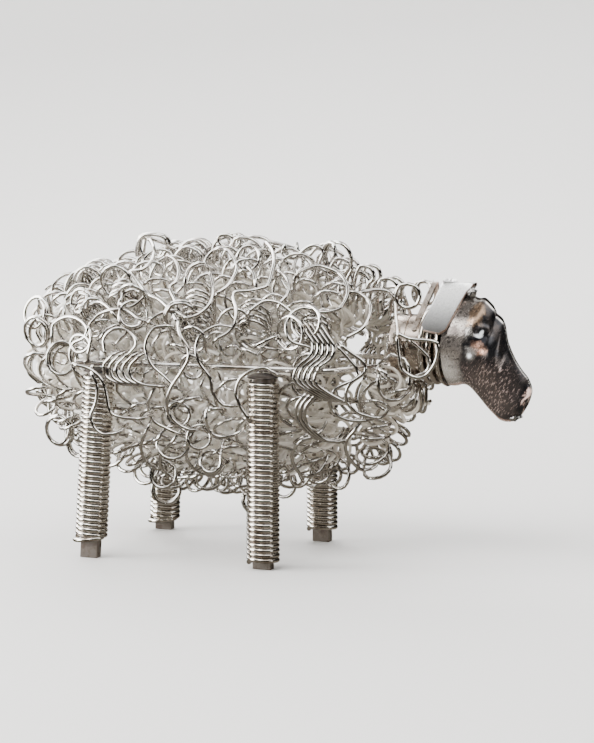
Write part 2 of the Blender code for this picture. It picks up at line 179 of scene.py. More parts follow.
def sweep_wire(tree, given, end, line, sides):
    """Sweeps a round wire along a line, smooth and with its finish."""
    circle = {"Radius": given["Wire radius"], "Resolution": sides}
    section = add_node(tree, "GeometryNodeCurvePrimitiveCircle", circle).outputs["Curve"]
    sweep = {"Curve": line, "Profile Curve": section, "Fill Caps": True}
    made = add_node(tree, "GeometryNodeCurveToMesh", sweep).outputs["Mesh"]
    made = add_node(tree, "GeometryNodeSetShadeSmooth", {"Geometry": made}).outputs["Geometry"]
    made = add_node(tree, "GeometryNodeRealizeInstances", {"Geometry": made}).outputs["Geometry"]
    finish = {"Geometry": made, "Material": given["Finish"]}
    made = add_node(tree, "GeometryNodeSetMaterial", finish).outputs["Geometry"]
    fill(tree, end, {0: made})
    return tree


def wire_tree():
    """Sweeps a round wire along every line of a curve."""
    name = "Wire along a line"
    inputs = (("Lines", "Geometry"), ("Wire radius", "Float"), ("Sides", "Int"), ("Finish", "Material"))
    if name in bpy.data.node_groups:
        return bpy.data.node_groups[name]
    tree, given, end = geometry_tree(name, inputs, "Wire")
    return sweep_wire(tree, given, end, given["Lines"], given["Sides"])


def run_tree(piece, tree, **values):
    """Puts a node tree on a piece, with values for its named inputs, and makes the result plain."""
    modifier = piece.modifiers.new(tree.name, "NODES")
    modifier.node_group = tree
    for socket in tree.interface.items_tree:
        key = socket.name.replace(" ", "_").lower()
        if socket.item_type == "SOCKET" and socket.in_out == "INPUT" and key in values:
            modifier[socket.identifier] = values[key]
    return flatten(piece)


def wires(name, lines, radius_mm, sides, finish):
    """Round wire along every line of points, as one plain mesh."""
    data = bpy.data.curves.new(name, "CURVE")
    data.dimensions = "3D"
    for points in lines:
        spline = data.splines.new("POLY")
        spline.points.add(len(points) - 1)
        flat = np.ones((len(points), 4))
        flat[:, :3] = [tuple(point) for point in points]
        spline.points.foreach_set("co", flat.ravel())
    piece = new_object(name, data, finish)
    return run_tree(piece, wire_tree(), wire_radius=radius_mm * MM, sides=sides, finish=finish)


def smooth_line(points, per_span):
    """A smooth line that passes through all the points."""
    points = [Vector(point) for point in points]
    line = []
    for i in range(len(points) - 1):
        b, c = points[i], points[i + 1]
        a = points[i - 1] if i else b * 2 - c
        d = points[i + 2] if i + 2 < len(points) else c * 2 - b
        for step in range(per_span):
            t = step / per_span
            square = (2 * a - 5 * b + 4 * c - d) * t * t
            cube = (3 * b - a - 3 * c + d) * t ** 3
            line.append(0.5 * ((2 * b) + (c - a) * t + square + cube))
    line.append(points[-1])
    return line


def skin(mesh, rows, closed=False, flip=False):
    """Joins rows of vertices with faces. A row of one vertex makes a point."""
    for first, second in zip(rows, rows[1:]):
        count = max(len(first), len(second))
        for i in range(count if closed else count - 1):
            j = (i + 1) % count
            near = (first[i % len(first)], first[j % len(first)])
            far = (second[j % len(second)], second[i % len(second)])
            corners = list(dict.fromkeys(near + far))
            mesh.faces.new(corners[::-1] if flip else corners)


def lathe(mesh, profile, sides, origin, axis, across):
    """Turns a profile of (distance along the axis, radius) round the axis, closed where the radius is 0."""
    up = axis.cross(across)
    spokes = [across * math.cos(TAU * i / sides) + up * math.sin(TAU * i / sides) for i in range(sides)]
    rows = []
    for along, radius in profile:
        centre = origin + axis * along
        ends = spokes[:1] if radius <= 1e-9 else spokes
        rows.append([mesh.verts.new(centre + spoke * radius) for spoke in ends])
    skin(mesh, rows, closed=True)


def round_edges(piece, width, least_angle):
    """Rounds the edges by a width in metres where they turn by more than an angle in degrees."""
    rounded = piece.modifiers.new("rounded edges", "BEVEL")
    rounded.width = width
    rounded.segments = 2
    rounded.limit_method = "ANGLE"
    rounded.angle_limit = math.radians(least_angle)
    return flatten(piece)


# Finishes.

# How deep the fine grain of drawn wire goes, in metres.
WIRE_GRAIN = 0.00008


def new_finish(name, metallic=1.0):
    """A new material, its node tree and its shader."""
    made = bpy.data.materials.new(name)
    made.use_nodes = True
    shader = made.node_tree.nodes["Principled BSDF"]
    shader.inputs["Metallic"].default_value = metallic
    return made, made.node_tree, shader


def coordinates(tree, scale=(1, 1, 1), turn=(0, 0, 0)):
    """Object coordinates, turned and scaled."""
    source = add_node(tree, "ShaderNodeTexCoord").outputs["Object"]
    inputs = {"Vector": source, "Rotation": turn, "Scale": [1 / value for value in scale]}
    return add_node(tree, "ShaderNodeMapping", inputs, vector_type="TEXTURE").outputs["Vector"]


def cloud(tree, where, scale, detail=3.0, rough=0.55):
    inputs = {"Vector": where, "Scale": scale, "Detail": detail, "Roughness": rough}
    return add_node(tree, "ShaderNodeTexNoise", inputs).outputs["Fac"]


def levels(tree, value, low, high, out_low=0.0, out_high=1.0):
    inputs = {"Value": value, "From Min": low, "From Max": high, "To Min": out_low, "To Max": out_high}
    return add_node(tree, "ShaderNodeMapRange", inputs, interpolation_type="SMOOTHSTEP").outputs["Result"]


def blend_colours(tree, share, first, second):
    inputs = {"Factor": share}
    for key, colour in ((6, first), (7, second)):
        inputs[key] = colour if isinstance(colour, bpy.types.NodeSocket) else (*colour, 1.0)
    return add_node(tree, "ShaderNodeMix", inputs, data_type="RGBA").outputs[2]


def bump(tree, height, strength, distance):
    inputs = {"Height": height, "Strength": strength, "Distance": distance}
    return add_node(tree, "ShaderNodeBump", inputs).outputs["Normal"]


def times(tree, first, second):
    return add_node(tree, "ShaderNodeMath", {0: first, 1: second}, operation="MULTIPLY").outputs["Value"]


def vector_maths(tree, operation, *inputs, output="Vector"):
    made = add_node(tree, "ShaderNodeVectorMath", dict(enumerate(inputs)), operation=operation)
    return made.outputs[output]


def scaled(tree, vector, scale):
    inputs = {0: vector, "Scale": scale}
    return add_node(tree, "ShaderNodeVectorMath", inputs, operation="SCALE").outputs["Vector"]


def part_of(tree, where, axis):
    """The X, Y or Z of a vector."""
    return add_node(tree, "ShaderNodeSeparateXYZ", {"Vector": where}).outputs[axis]


def uneven_shift(tree, where, scale, detail):
    """A vector that changes from place to place, with its middle at 0."""
    inputs = {"Vector": where, "Scale": scale, "Detail": detail}
    colour = add_node(tree, "ShaderNodeTexNoise", inputs).outputs["Color"]
    return vector_maths(tree, "SUBTRACT", colour, (0.5, 0.5, 0.5))


def drawn_wire_finish(name, colour, tarnish, roughness, share=0.45):
    """Bright drawn wire, with patches of tarnish and a slightly uneven polish."""
    made, tree, shader = new_finish(name)
    where = coordinates(tree)
    patches = levels(tree, cloud(tree, where, 180.0), 0.45, 0.72, 0.0, share)
    polish = levels(tree, cloud(tree, where, 700.0, 2.0), 0.3, 0.7, roughness * 0.75, roughness * 1.35)
    grain = bump(tree, cloud(tree, where, 1500.0, 2.0), 0.12, WIRE_GRAIN)
    base = blend_colours(tree, patches, colour, tarnish)
    fill(tree, shader, {"Base Color": base, "Roughness": polish, "Normal": grain})
    return made


def satin_wire_finish(name, colour, shade, chest):
    """Dull pale wire, as deep in the fleece, whose pale colour is painted light, with painted shade that
    darkens it towards the chest.
    """
    made, tree, shader = new_finish(name, 0.1)
    where = coordinates(tree)
    patches = levels(tree, cloud(tree, where, 120.0), 0.4, 0.7)
    # Painted shade: the wire gets darker towards the chest, in front.
    chest_painted_shade = levels(tree, part_of(tree, where, "X"), -0.02, 0.03)
    base = blend_colours(tree, patches, colour, shade)
    base = blend_colours(tree, chest_painted_shade, base, chest)
    polish = levels(tree, patches, 0.0, 1.0, 0.45, 0.6)
    grain = bump(tree, cloud(tree, where, 1500.0, 2.0), 0.1, WIRE_GRAIN)
    fill(tree, shader, {"Base Color": base, "Roughness": polish, "Normal": grain})
    return made


def scratched_steel_finish(name, colour, stain, roughness):
    """Dark bar steel with stains and fine marks along its length."""
    made, tree, shader = new_finish(name, 0.9)
    stains = levels(tree, cloud(tree, coordinates(tree), 260.0, 5.0), 0.4, 0.65)
    base = blend_colours(tree, stains, colour, stain)
    polish = levels(tree, stains, 0.0, 1.0, roughness, roughness + 0.2)
    marks = cloud(tree, coordinates(tree, scale=(3, 3, 0.3)), 900.0, 4.0)
    fill(tree, shader, {"Base Color": base, "Roughness": polish, "Normal": bump(tree, marks, 0.25, 0.0001)})
    return made


def brushed_finish(name, colour, shade, turn, low, high):
    """Light metal brushed along the strap, with painted shade that darkens it towards its lower ends."""
    made, tree, shader = new_finish(name, 0.8)
    streaks = cloud(tree, coordinates(tree, scale=(6, 6, 0.3), turn=turn), 360.0, 5.0, 0.75)
    # Painted shade: the colour runs from the shade colour at the low height to the strap's colour at the high
    # height.
    height = levels(tree, part_of(tree, coordinates(tree), "Z"), low, high)
    lit = blend_colours(tree, height, shade, colour)
    lines = levels(tree, streaks, 0.42, 0.66, 0.0, 0.3)
    base = blend_colours(tree, lines, lit, shade)
    polish = levels(tree, streaks, 0.25, 0.75, 0.26, 0.46)
    fill(tree, shader, {"Base Color": base, "Roughness": polish, "Normal": bump(tree, streaks, 0.6, 0.00016)})
    return made


def edge_attribute(tree, name):
    return add_node(tree, "ShaderNodeAttribute", attribute_name=name).outputs["Fac"]


def warped(tree, scale, amount):
    """Object coordinates pushed about by noise, for patches with uneven edges."""
    source = add_node(tree, "ShaderNodeTexCoord").outputs["Object"]
    shift = uneven_shift(tree, source, scale, 4.0)
    return vector_maths(tree, "MULTIPLY_ADD", shift, (amount, 0.0, amount), source)


def spot(tree, where, centre, size, turn, inner):
    """A round patch with its middle in X and Z and its half sizes in mm, 1 in its middle."""
    inputs = {
        "Vector": where,
        "Location": place(centre[0], 0, centre[1]),
        "Rotation": (0.0, math.radians(turn), 0.0),
        "Scale": (size[0] * MM, 1.0, size[1] * MM),
    }
    local = add_node(tree, "ShaderNodeMapping", inputs, vector_type="TEXTURE").outputs["Vector"]
    return levels(tree, vector_maths(tree, "LENGTH", local, output="Value"), inner, 1.0, 1.0, 0.0)


# Patches of the head from the first laid to the last:
# colour, middle in X and Z, half sizes, turn in degrees, and where the edge starts.
# The cheek patches are painted sheen, the pale reflection on the bulging sheet.
HEAD_PATCHES = (
    ("lower", (92.0, 54.5), (11.5, 11.0), 40, 0.5),
    ("mottled", (82.6, 68.0), (4.6, 16.0), 8, 0.5),
    ("cheek", (81.5, 60.5), (4.6, 7.0), 0, 0.0),
    ("mottled", (85.2, 77.0), (4.2, 6.6), 12, 0.5),
    ("temple", (88.6, 76.6), (2.5, 4.3), 6, 0.6),
    ("lower", (83.2, 72.2), (2.2, 2.8), 10, 0.2),
    ("cheek", (87.4, 71.6), (1.4, 2.6), 15, 0.0),
    # Painted shade in the eye hollow.
    ("black", (90.2, 69.6), (3.1, 2.2), 15, 0.4),
    # Painted highlights in and beside the eye hollow.
    ("flash", (90.0, 70.6), (1.2, 0.8), 20, 0.35),
    ("flash", (90.5, 71.4), (0.65, 1.4), 25, 0.35),
    ("rim", (103.2, 53.0), (0.8, 4.2), 23, 0.2),
    ("warm", (90.0, 66.9), (2.5, 2.8), -35, 0.2),
    ("cheek", (88.5, 65.6), (2.2, 2.9), 0, 0.0),
    # Painted highlight on the cheek's bulge.
    ("flash", (88.2, 65.0), (1.1, 1.3), 0, 0.0),
)


def head_finish(colours):
    """Polished sheet painted with its reflections: a near-black base for the dark reflection, pale cheek
    patches for its sheen, painted highlights and painted shade at the eye and a pale painted highlight line
    along the brow, with grey, tan and coppery patches and fine scratches across the muzzle.
    """
    made, tree, shader = new_finish("head plate")
    names = ("dark", "dark_warm", "lower", "cheek", "mottled", "temple", "warm", "copper", "rim")
    tints = {name: tuple(getattr(colours, name)) for name in names}
    # Near black for the painted shade in the eye hollow, bluish white for the painted highlights.
    tints.update(black=(0.008, 0.008, 0.011), flash=(0.92, 0.96, 1.0))
    where = coordinates(tree)
    uneven = warped(tree, 520.0, 0.0034)
    # Painted dark reflection: the near-black base of the polished sheet, warmer in places.
    drift = levels(tree, cloud(tree, where, 420.0, 5.0), 0.4, 0.68)
    base = blend_colours(tree, drift, tints["dark"], tints["dark_warm"])
    streaky = coordinates(tree, scale=(5.0, 1.0, 0.8), turn=(0.0, math.radians(34), 0.0))
    scratches = levels(tree, cloud(tree, streaky, 900.0, 3.0, 0.6), 0.52, 0.68)
    metal = None
    for number, (tint, centre, size, turn, inner) in enumerate(HEAD_PATCHES):
        patch = spot(tree, where if tint == "flash" else uneven, centre, size, turn, inner)
        base = blend_colours(tree, patch, base, tints[tint])
        if number == 0:
            base = blend_colours(tree, times(tree, patch, scratches), base, tints["copper"])
        # The painted highlights and the rim are not metal.
        if tint in ("flash", "rim"):
            dull = levels(tree, patch, 0.0, 1.0, 1.0 if metal else 0.82, 0.0)
            metal = times(tree, metal, dull) if metal else dull
    specks = levels(tree, cloud(tree, where, 1500.0, 3.0), 0.52, 0.66)
    specks = times(tree, specks, spot(tree, where, (85.0, 72.0), (6.0, 15.0), 10, 0.5))
    base = blend_colours(tree, specks, base, tints["dark_warm"])
    base = blend_colours(tree, edge_attribute(tree, "rim"), base, tints["rim"])
    # Painted highlight: the pale line along the brow, in the cheek colour.
    base = blend_colours(tree, edge_attribute(tree, "ridge"), base, tints["cheek"])
    polish = levels(tree, scratches, 0.0, 1.0, 0.16, 0.30)
    grain = bump(tree, cloud(tree, streaky, 900.0, 4.0, 0.65), 0.35, 0.00010)
    fill(tree, shader, {"Base Color": base, "Metallic": metal, "Roughness": polish, "Normal": grain})
    return made


def solder_finish():
    """Lumpy bright solder with dark patches of dirt."""
    made, tree, shader = new_finish("solder")
    where = coordinates(tree)
    dirt = levels(tree, cloud(tree, where, 900.0, 4.0), 0.42, 0.6)
    base = blend_colours(tree, dirt, (0.55, 0.54, 0.52), (0.05, 0.05, 0.05))
    lumps = bump(tree, cloud(tree, where, 1400.0, 4.0), 0.5, 0.0002)
    fill(tree, shader, {"Base Color": base, "Roughness": 0.28, "Normal": lumps})
    return made


def smooth_metal_finish(name, colour, stain, roughness):
    """Smooth metal with large faint stains."""
    made, tree, shader = new_finish(name)
    where = coordinates(tree)
    stains = levels(tree, cloud(tree, where, 140.0, 4.0), 0.42, 0.7)
    base = blend_colours(tree, stains, colour, stain)
    polish = levels(tree, cloud(tree, where, 500.0), 0.3, 0.7, roughness * 0.8, roughness * 1.3)
    fill(tree, shader, {"Base Color": base, "Roughness": polish})
    return made


# Settings that a user would change.


def mm_property(name, text, value):
    return FloatProperty(name=name, description=text, default=value, min=0.0)


def colour_property(name, text, value):
    return FloatVectorProperty(name=name, description=text, subtype="COLOR", size=3, default=value)


class LegSettings(bpy.types.PropertyGroup):
    wire: mm_property("Winding wire", "Diameter of the wire wound round each leg, in mm", 1.5)
    outer: mm_property("Leg thickness", "Outside of the winding, in mm", 10.1)
    bar_width: mm_property("Bar width", "Width of the flat bar inside the leg, in mm", 5.9)
    bar_thickness: mm_property("Bar thickness", "Thickness of the flat bar inside the leg, in mm", 2.9)
    colour: colour_property("Winding colour", "Colour of the leg wire", (0.66, 0.625, 0.575))


class FleeceSettings(bpy.types.PropertyGroup):
    wire: mm_property("Fleece wire", "Diameter of the fleece wire, in mm", 1.15)
    coil: mm_property("Coil size", "Outside of one turn of the coil, in mm", 10.4)
    tight: mm_property("Closest turns", "Distance between turns where the coil is tight, in mm", 1.6)
    loose: mm_property("Stretched turns", "Distance between turns where the coil is stretched, in mm", 7.4)
    group_spacing: mm_property("Tight groups", "Distance between groups of tight turns, in mm", 75.0)
    loops: IntProperty(name="Loose loops", description="Curls that stand on the surface", default=46, min=0)
    steps: IntProperty(name="Steps in a turn", description="Straight steps in one turn", default=18, min=8)
    sides: IntProperty(name="Wire sides", description="Sides of the wire's section", default=6, min=3)
    seed: IntProperty(name="Seed", description="Seed of the irregular turns", default=11)
    colour: colour_property("Wire colour", "Colour of the fleece wire", (0.64, 0.62, 0.59))
    tarnish: colour_property("Tarnish", "Colour of tarnished wire", (0.22, 0.17, 0.12))


class HeadSettings(bpy.types.PropertyGroup):
    thickness: mm_property("Plate thickness", "Thickness of the sheet, in mm", 0.7)
    bulge: mm_property("Bulge", "How far each plate bulges at the back of the head, in mm", 12.2)
    # The brow colours paint the dark reflection of the polished sheet; the cheek colour paints its pale
    # sheen.
    dark: colour_property("Brow colour", "Darkest colour of the head", (0.03, 0.03, 0.033))
    dark_warm: colour_property("Warm brow colour", "Warmer dark colour", (0.075, 0.064, 0.060))
    lower: colour_property("Muzzle colour", "Colour of the muzzle", (0.115, 0.096, 0.089))
    cheek: colour_property("Cheek colour", "Colour of the cheek", (0.95, 0.91, 0.86))
    mottled: colour_property("Crown colour", "Colour under the strap", (0.36, 0.32, 0.29))
    temple: colour_property("Temple colour", "Colour above the eye", (0.29, 0.20, 0.135))
    warm: colour_property("Warm cheek colour", "Colour below the eye", (0.86, 0.50, 0.36))
    copper: colour_property("Scratch colour", "Colour of scratches on the muzzle", (0.86, 0.66, 0.60))
    rim: colour_property("Rim colour", "Colour of the plates' cut edges", (0.82, 0.58, 0.50))


class StageSettings(bpy.types.PropertyGroup):
    floor_colour: colour_property("Floor colour", "Colour of the floor and backdrop", (0.78, 0.77, 0.76))


# Legs.


# Half the width of a solid leg bar in mm.
BAR_HALF = 2.7


class Leg:
    """The slanting middle line of one leg, read from its solids."""

    def __init__(self, end, side):
        bar_low, bar_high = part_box(f"leg_bar_{end}_{side}")
        low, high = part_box(f"leg_winding_{end}_{side}")
        cap_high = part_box(f"leg_cap_{end}_{side}")[1]
        sign = SIDES[side]
        self.name = f"{end}_{side}"
        self.bottom = low[2]
        self.height = high[2]
        self.cap = cap_high[2] - high[2]
        self.foot = Vector((bar_low[0] + BAR_HALF * MM, sign * FOOT_Y[end] * MM + SHIFT.y, 0.0))
        self.top = Vector((bar_high[0] - BAR_HALF * MM, sign * TRACK * MM + SHIFT.y, self.height))

    def at(self, height):
        return self.foot.lerp(self.top, height / self.height)

    def along(self):
        return (self.top - self.foot).normalized()


LEGS = [Leg(end, side) for end in ("front", "rear") for side in SIDES]


def winding_tree():
    """A close winding of wire that rises from the ground end, with a little unevenness."""
    numbers = ("Wire radius", "Middle radius", "Height", "Turns", "Unevenness")
    inputs = [("Start", "Geometry"), *((name, "Float") for name in numbers), ("Finish", "Material")]
    tree, given, end = geometry_tree("Leg winding", inputs, "Winding")
    spiral = {
        "Resolution": 30,
        "Rotations": given["Turns"],
        "Start Radius": given["Middle radius"],
        "End Radius": given["Middle radius"],
        "Height": given["Height"],
    }
    line = add_node(tree, "GeometryNodeCurveSpiral", spiral).outputs["Curve"]
    where = add_node(tree, "GeometryNodeInputPosition").outputs["Position"]
    shift = scaled(tree, uneven_shift(tree, where, 220.0, 1.0), given["Unevenness"])
    line = add_node(tree, "GeometryNodeSetPosition", {"Geometry": line, "Offset": shift}).outputs["Geometry"]
    return sweep_wire(tree, given, end, line, 10)


class SHEEP_OT_legs(bpy.types.Operator):
    """Winds wire round the four flat bars, and caps each winding"""

    bl_idname = "sheep.legs"
    bl_label = "Legs"

    def execute(self, context):
        legs = context.scene.sheep_legs
        wire_finish = drawn_wire_finish("leg winding", tuple(legs.colour), (0.26, 0.20, 0.15), 0.17, 0.7)
        bar_finish = scratched_steel_finish("leg bar", (0.34, 0.30, 0.265), (0.15, 0.12, 0.10), 0.34)
        cap_finish = scratched_steel_finish("leg cap", (0.10, 0.085, 0.075), (0.035, 0.028, 0.024), 0.3)
        tree = winding_tree()
        radius = legs.wire / 2 * MM
        for leg in LEGS:
            self.winding(leg, legs, tree, radius, wire_finish)
            self.bar(leg, legs, bar_finish)
            self.cap(leg, legs, cap_finish)
        return {"FINISHED"}

    def winding(self, leg, legs, tree, radius, finish):
        height = leg.height - leg.bottom - 2 * radius
        name = f"winding_{leg.name}"
        piece = new_object(name, bpy.data.meshes.new(name), finish)
        piece = run_tree(
            piece,
            tree,
            wire_radius=radius,
            middle_radius=legs.outer / 2 * MM - radius,
            height=height,
            turns=height / (legs.wire * MM),
            unevenness=0.12 * MM,
            finish=finish,
        )
        lean = Vector((0, 0, 1)).rotation_difference(leg.along()).to_matrix().to_4x4()
        turn = Matrix.Rotation(math.radians(200), 4, "Z")
        piece.data.transform(Matrix.Translation(leg.at(leg.bottom + radius)) @ lean @ turn)
        settle(piece, "leg_winding", f"leg_winding_{leg.name}")
        if leg.name.startswith("rear"):
            self.loose_end(leg, legs, radius, finish)

    def loose_end(self, leg, legs, radius, finish):
        """The end of the wire, bent a little away from the lowest turn."""
        points = []
        for step in range(25):
            share = step / 24
            angle = math.radians(350 - 150 * share)
            reach = legs.outer / 2 * MM - radius + 0.8 * MM * share ** 3
            centre = leg.at(leg.bottom + radius * (1.3 - 1.5 * share))
            points.append(centre + Vector((math.cos(angle), math.sin(angle), 0.0)) * reach)
        piece = wires(f"winding_end_{leg.name}", [points], radius * 0.9 / MM, 10, finish)
        settle(piece, "leg_winding")

    def bar(self, leg, legs, finish):
        mesh = bmesh.new()
        half_width, half_thickness = legs.bar_width / 2 * MM, legs.bar_thickness / 2 * MM
        rings = []
        levels_up = 14
        for step in range(levels_up + 1):
            height = leg.height * step / levels_up
            centre = leg.at(height)
            ring = []
            for a, b in ((-1, -1), (0, -1), (1, -1), (1, 0), (1, 1), (0, 1), (-1, 1), (-1, 0)):
                point = centre + Vector((a * half_width, b * half_thickness, 0.0))
                wander = noise.noise_vector(point * 420.0) * 0.00012
                wander.z = 0.0 if step == 0 else wander.z
                ring.append(mesh.verts.new(point + wander))
            rings.append(ring)
        skin(mesh, rings, closed=True)
        mesh.faces.new(rings[0][::-1])
        mesh.faces.new(rings[-1])
        piece = round_edges(mesh_object(f"bar_{leg.name}", mesh, finish, 30.0), 0.00022, 40)
        settle(piece, "dark_steel", f"leg_bar_{leg.name}")

    def cap(self, leg, legs, finish):
        mesh = bmesh.new()
        radius = legs.outer / 2 * MM * 0.97
        lip, steps = 0.0004, 12
        profile = [(0.0001, 0.0), (0.0001, radius * 0.5), (0.0002, radius * 0.93), (lip, radius)]
        for i in range(1, steps + 1):
            turn = math.pi / 2 * i / steps
            out = radius * math.cos(turn) ** 0.8 if i < steps else 0.0
            profile.append((lip + (leg.cap - lip) * math.sin(turn) ** 1.3, out))
        lathe(mesh, profile, 40, leg.at(leg.height), leg.along(), Vector((1, 0, 0)))
        settle(mesh_object(f"cap_{leg.name}", mesh, finish, 50.0), "dark_steel", f"leg_cap_{leg.name}")


# Rods and post.


def rod_line(side):
    """The rod's middle line, read at the height of the solid rod."""
    low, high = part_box(f"side_rod_{side}")
    sign = SIDES[side]
    z = (low[2] + high[2]) / 2 / MM
    inner = min(abs(low[1] - SHIFT.y), abs(high[1] - SHIFT.y)) / MM + 1.0
    outer = max(abs(low[1] - SHIFT.y), abs(high[1] - SHIFT.y)) / MM - 1.0
    tail = (low[0] - SHIFT.x) / MM
    nose = (high[0] - SHIFT.x) / MM
    turn_in = ((46.0, 1.0), (49.5, 0.96), (52.2, 0.78), (54.4, 0.52), (57.0, 0.25), (59.5, 0.05))
    points = [(tail, outer), (tail + 20, outer), (10.0, outer), (34.0, outer)]
    points += [(x, inner + share * (outer - inner)) for x, share in turn_in]
    points.append((nose, inner))
    return smooth_line([place(x, sign * y, z) for x, y in points], 8)


class SHEEP_OT_rods(bpy.types.Operator):
    """Bends the two side rods and sets the post in the chest"""

    bl_idname = "sheep.rods"
    bl_label = "Rods and post"

    def execute(self, context):
        finish = smooth_metal_finish("polished rod", (0.93, 0.92, 0.90), (0.62, 0.56, 0.50), 0.2)
        for side in SIDES:
            piece = wires(f"rod_{side}", [rod_line(side)], 1.0, 24, finish)
            settle(piece, "polished_rod", f"side_rod_{side}")
        low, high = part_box("chest_post")
        radius = (high[0] - low[0]) / 2
        middle = Vector(((low[0] + high[0]) / 2, (low[1] + high[1]) / 2, low[2]))
        length = high[2] - low[2]
        edge = 0.0004
        corner = [(0.0, radius - edge), (edge * 0.3, radius - edge * 0.3), (edge, radius)]
        profile = [(0.0, 0.0), *corner, *((length * share, radius) for share in (0.25, 0.5, 0.75))]
        profile += [(length - along, out) for along, out in reversed(corner)] + [(length, 0.0)]
        mesh = bmesh.new()
        lathe(mesh, profile, 48, middle, Vector((0, 0, 1)), Vector((1, 0, 0)))
        settle(mesh_object("post", mesh, finish, 50.0), "polished_rod", "chest_post")
        return {"FINISHED"}


# Fleece.

# The body by X: underside Z, top Z and half width in mm, to the outside of the wire.
BODY_STATIONS = (
    (-60.0, 44.5, 76.5, 12.5),
    (-53.0, 37.5, 83.0, 18.5),
    (-38.6, 29.0, 89.8, 24.5),
    (-20.0, 20.5, 94.8, 28.5),
    (5.0, 16.2, 98.0, 30.0),
    (30.0, 18.5, 95.5, 28.5),
    (47.0, 23.0, 90.5, 24.5),
    (61.5, 30.5, 83.5, 20.0),
    (66.5, 33.0, 70.0, 16.5),
    (71.2, 34.0, 56.0, 11.0),
)
# Where the winding has come to, X in mm, after so many times round the body.
WINDING_ADVANCE = (
    (0.00, -60.0),
    (7.75, 28.4),
    (8.00, 33.0),
    (8.25, 35.5),
    (8.50, 40.0),
    (8.75, 40.2),
    (9.00, 49.0),
    (9.25, 61.5),
    (9.50, 55.0),
    (9.75, 62.5),
    (10.10, 70.8),
)
FLEECE_LENGTHS = (("rear", 0.0, 3.5), ("middle", 3.5, 6.5), ("front", 6.5, 10.1))
BODY_AXIS_Z = 57.0
# Where wire at the top starts to be held back and where it ends, and the same for the front.
TOP_SOFT, TOP_LIMIT = 96.5, 100.3
FRONT_SOFT, FRONT_ROOM = 69.5, 2.6
# What the coils keep clear of: the middles of the legs, their thickness and their tops.
LEG_MIDDLES = (28.5, -27.2)
LEG_RADIUS, LEG_TOP, LEG_Y = 5.05, 58.7, 25.5
# What single points of wire keep clear of: X and Y of each foot, and how far its top is ahead of it.
FEET = ((FRONT_FOOT_X, FOOT_Y["front"], 0.0), (REAR_FOOT_X, FOOT_Y["rear"], 2.6))
WINDING_TOP = 57.4


def body_at(x):
    """Underside Z, top Z and half width of the body at an X."""
    places, *rows = zip(*BODY_STATIONS)
    return [float(np.interp(x, places, values)) for values in rows]


def push_off(across, up, centre_across, centre_up, reach):
    """Moves a point straight away from a centre until it is out of reach."""
    off_across, off_up = across - centre_across, up - centre_up
    distance = math.hypot(off_across, off_up)
    if distance >= reach or distance == 0.0:
        return across, up
    return centre_across + off_across * reach / distance, centre_up + off_up * reach / distance


def clear_line(x, y, z, coil_radius):
    """Keeps the middle of a coil off the legs, the rods and the neck, as the solid coil is kept."""
    side = 1 if y >= 0 else -1
    for leg_x in LEG_MIDDLES:
        reach = LEG_RADIUS + coil_radius
        gap = abs(x - leg_x)
        if gap < reach:
            y, z = push_off(y, z, side * LEG_Y, min(z, LEG_TOP), math.sqrt(reach ** 2 - gap ** 2))
    if -40 < x < 51:
        y, z = push_off(y, z, side * TRACK, ROD_Z, 1.0 + coil_radius)
    before = max(62.0 - x, 0.0)
    reach = 11.6 + coil_radius
    if before < reach:
        y, z = push_off(y, z, 0.0, NECK_Z, math.sqrt(reach ** 2 - before ** 2))
    return y, z


def clear_point(point, front=FRONT_SOFT):
    """Keeps one point of a wire out of the legs, the rods, the post and the neck."""
    x, y, z = point
    side = 1 if y >= 0 else -1
    if z < 60.4:
        share = min(1.0, max(0.0, z / WINDING_TOP))
        for foot_x, foot_y, rake in FEET:
            leg_y = side * (foot_y + (TRACK - foot_y) * share)
            x, y = push_off(x, y, foot_x + rake * share, leg_y, 5.75)
    if -34.5 < x < 50:
        y, z = push_off(y, z, side * TRACK, ROD_Z, 1.65)
    if 48 < z < 70:
        x, y = push_off(x, y, POST_X, 0.0, 2.7)
    if x > 61.5:
        y, z = push_off(y, z, 0.0, NECK_Z, 12.3 if x > 71.0 else 10.2)
    return Vector((held_back(x, front, FRONT_ROOM), y, held_back(z, TOP_SOFT, TOP_LIMIT - TOP_SOFT)))


def held_back(value, soft, room):
    """A value that slows down beyond a soft limit and never gets farther past it than the room there."""
    return min(value, soft) + room * (1 - math.exp(-max(0.0, value - soft) / room))


def middle_line(times_round, inset, slide, coil_radius):
    """The middle of a coil after so many times round the body, and the direction outward there."""
    slide *= min(1.0, max(0.0, (9.0 - times_round) / 1.2)) if slide > 0 else 1.0
    x = float(np.interp(times_round, *zip(*WINDING_ADVANCE))) + slide
    low, high, half_width = body_at(x)
    turn = TAU * times_round
    y = max(half_width - inset, 2.0) * math.sin(turn)
    z = (low + high) / 2 + max((high - low) / 2 - inset, 2.0) * math.cos(turn)
    y, z = clear_line(x, y, z, coil_radius)
    return Vector((x, y, z)), Vector((0, math.sin(turn), math.cos(turn)))


class Wander:
    """A smooth irregular value that changes from turn to turn."""

    count = 499

    def __init__(self, chance, low, high):
        self.values = [chance.uniform(low, high) for _ in range(self.count)]

    def at(self, turns):
        i = int(turns)
        share = turns - i
        share = share * share * (3 - 2 * share)
        first, second = self.values[i % self.count], self.values[(i + 1) % self.count]
        return first + (second - first) * share


def tight_places(length, chance, spacing):
    """Where the coil isn't stretched: starts and ends along it."""
    places = []
    at = chance.uniform(0.3, 0.8) * spacing
    while at < length:
        places.append((at, at + chance.uniform(5.0, 9.0)))
        at += chance.uniform(0.6, 1.4) * spacing
    return places


def tightness(at, places):
    """1 inside a tight place, 0 away from them all, and between these close to its ends."""
    ramp = 2.0
    for start, end in places:
        if start - ramp < at < end + ramp:
            return min(1.0, (at - start + ramp) / ramp, (end + ramp - at) / ramp)
    return 0.0


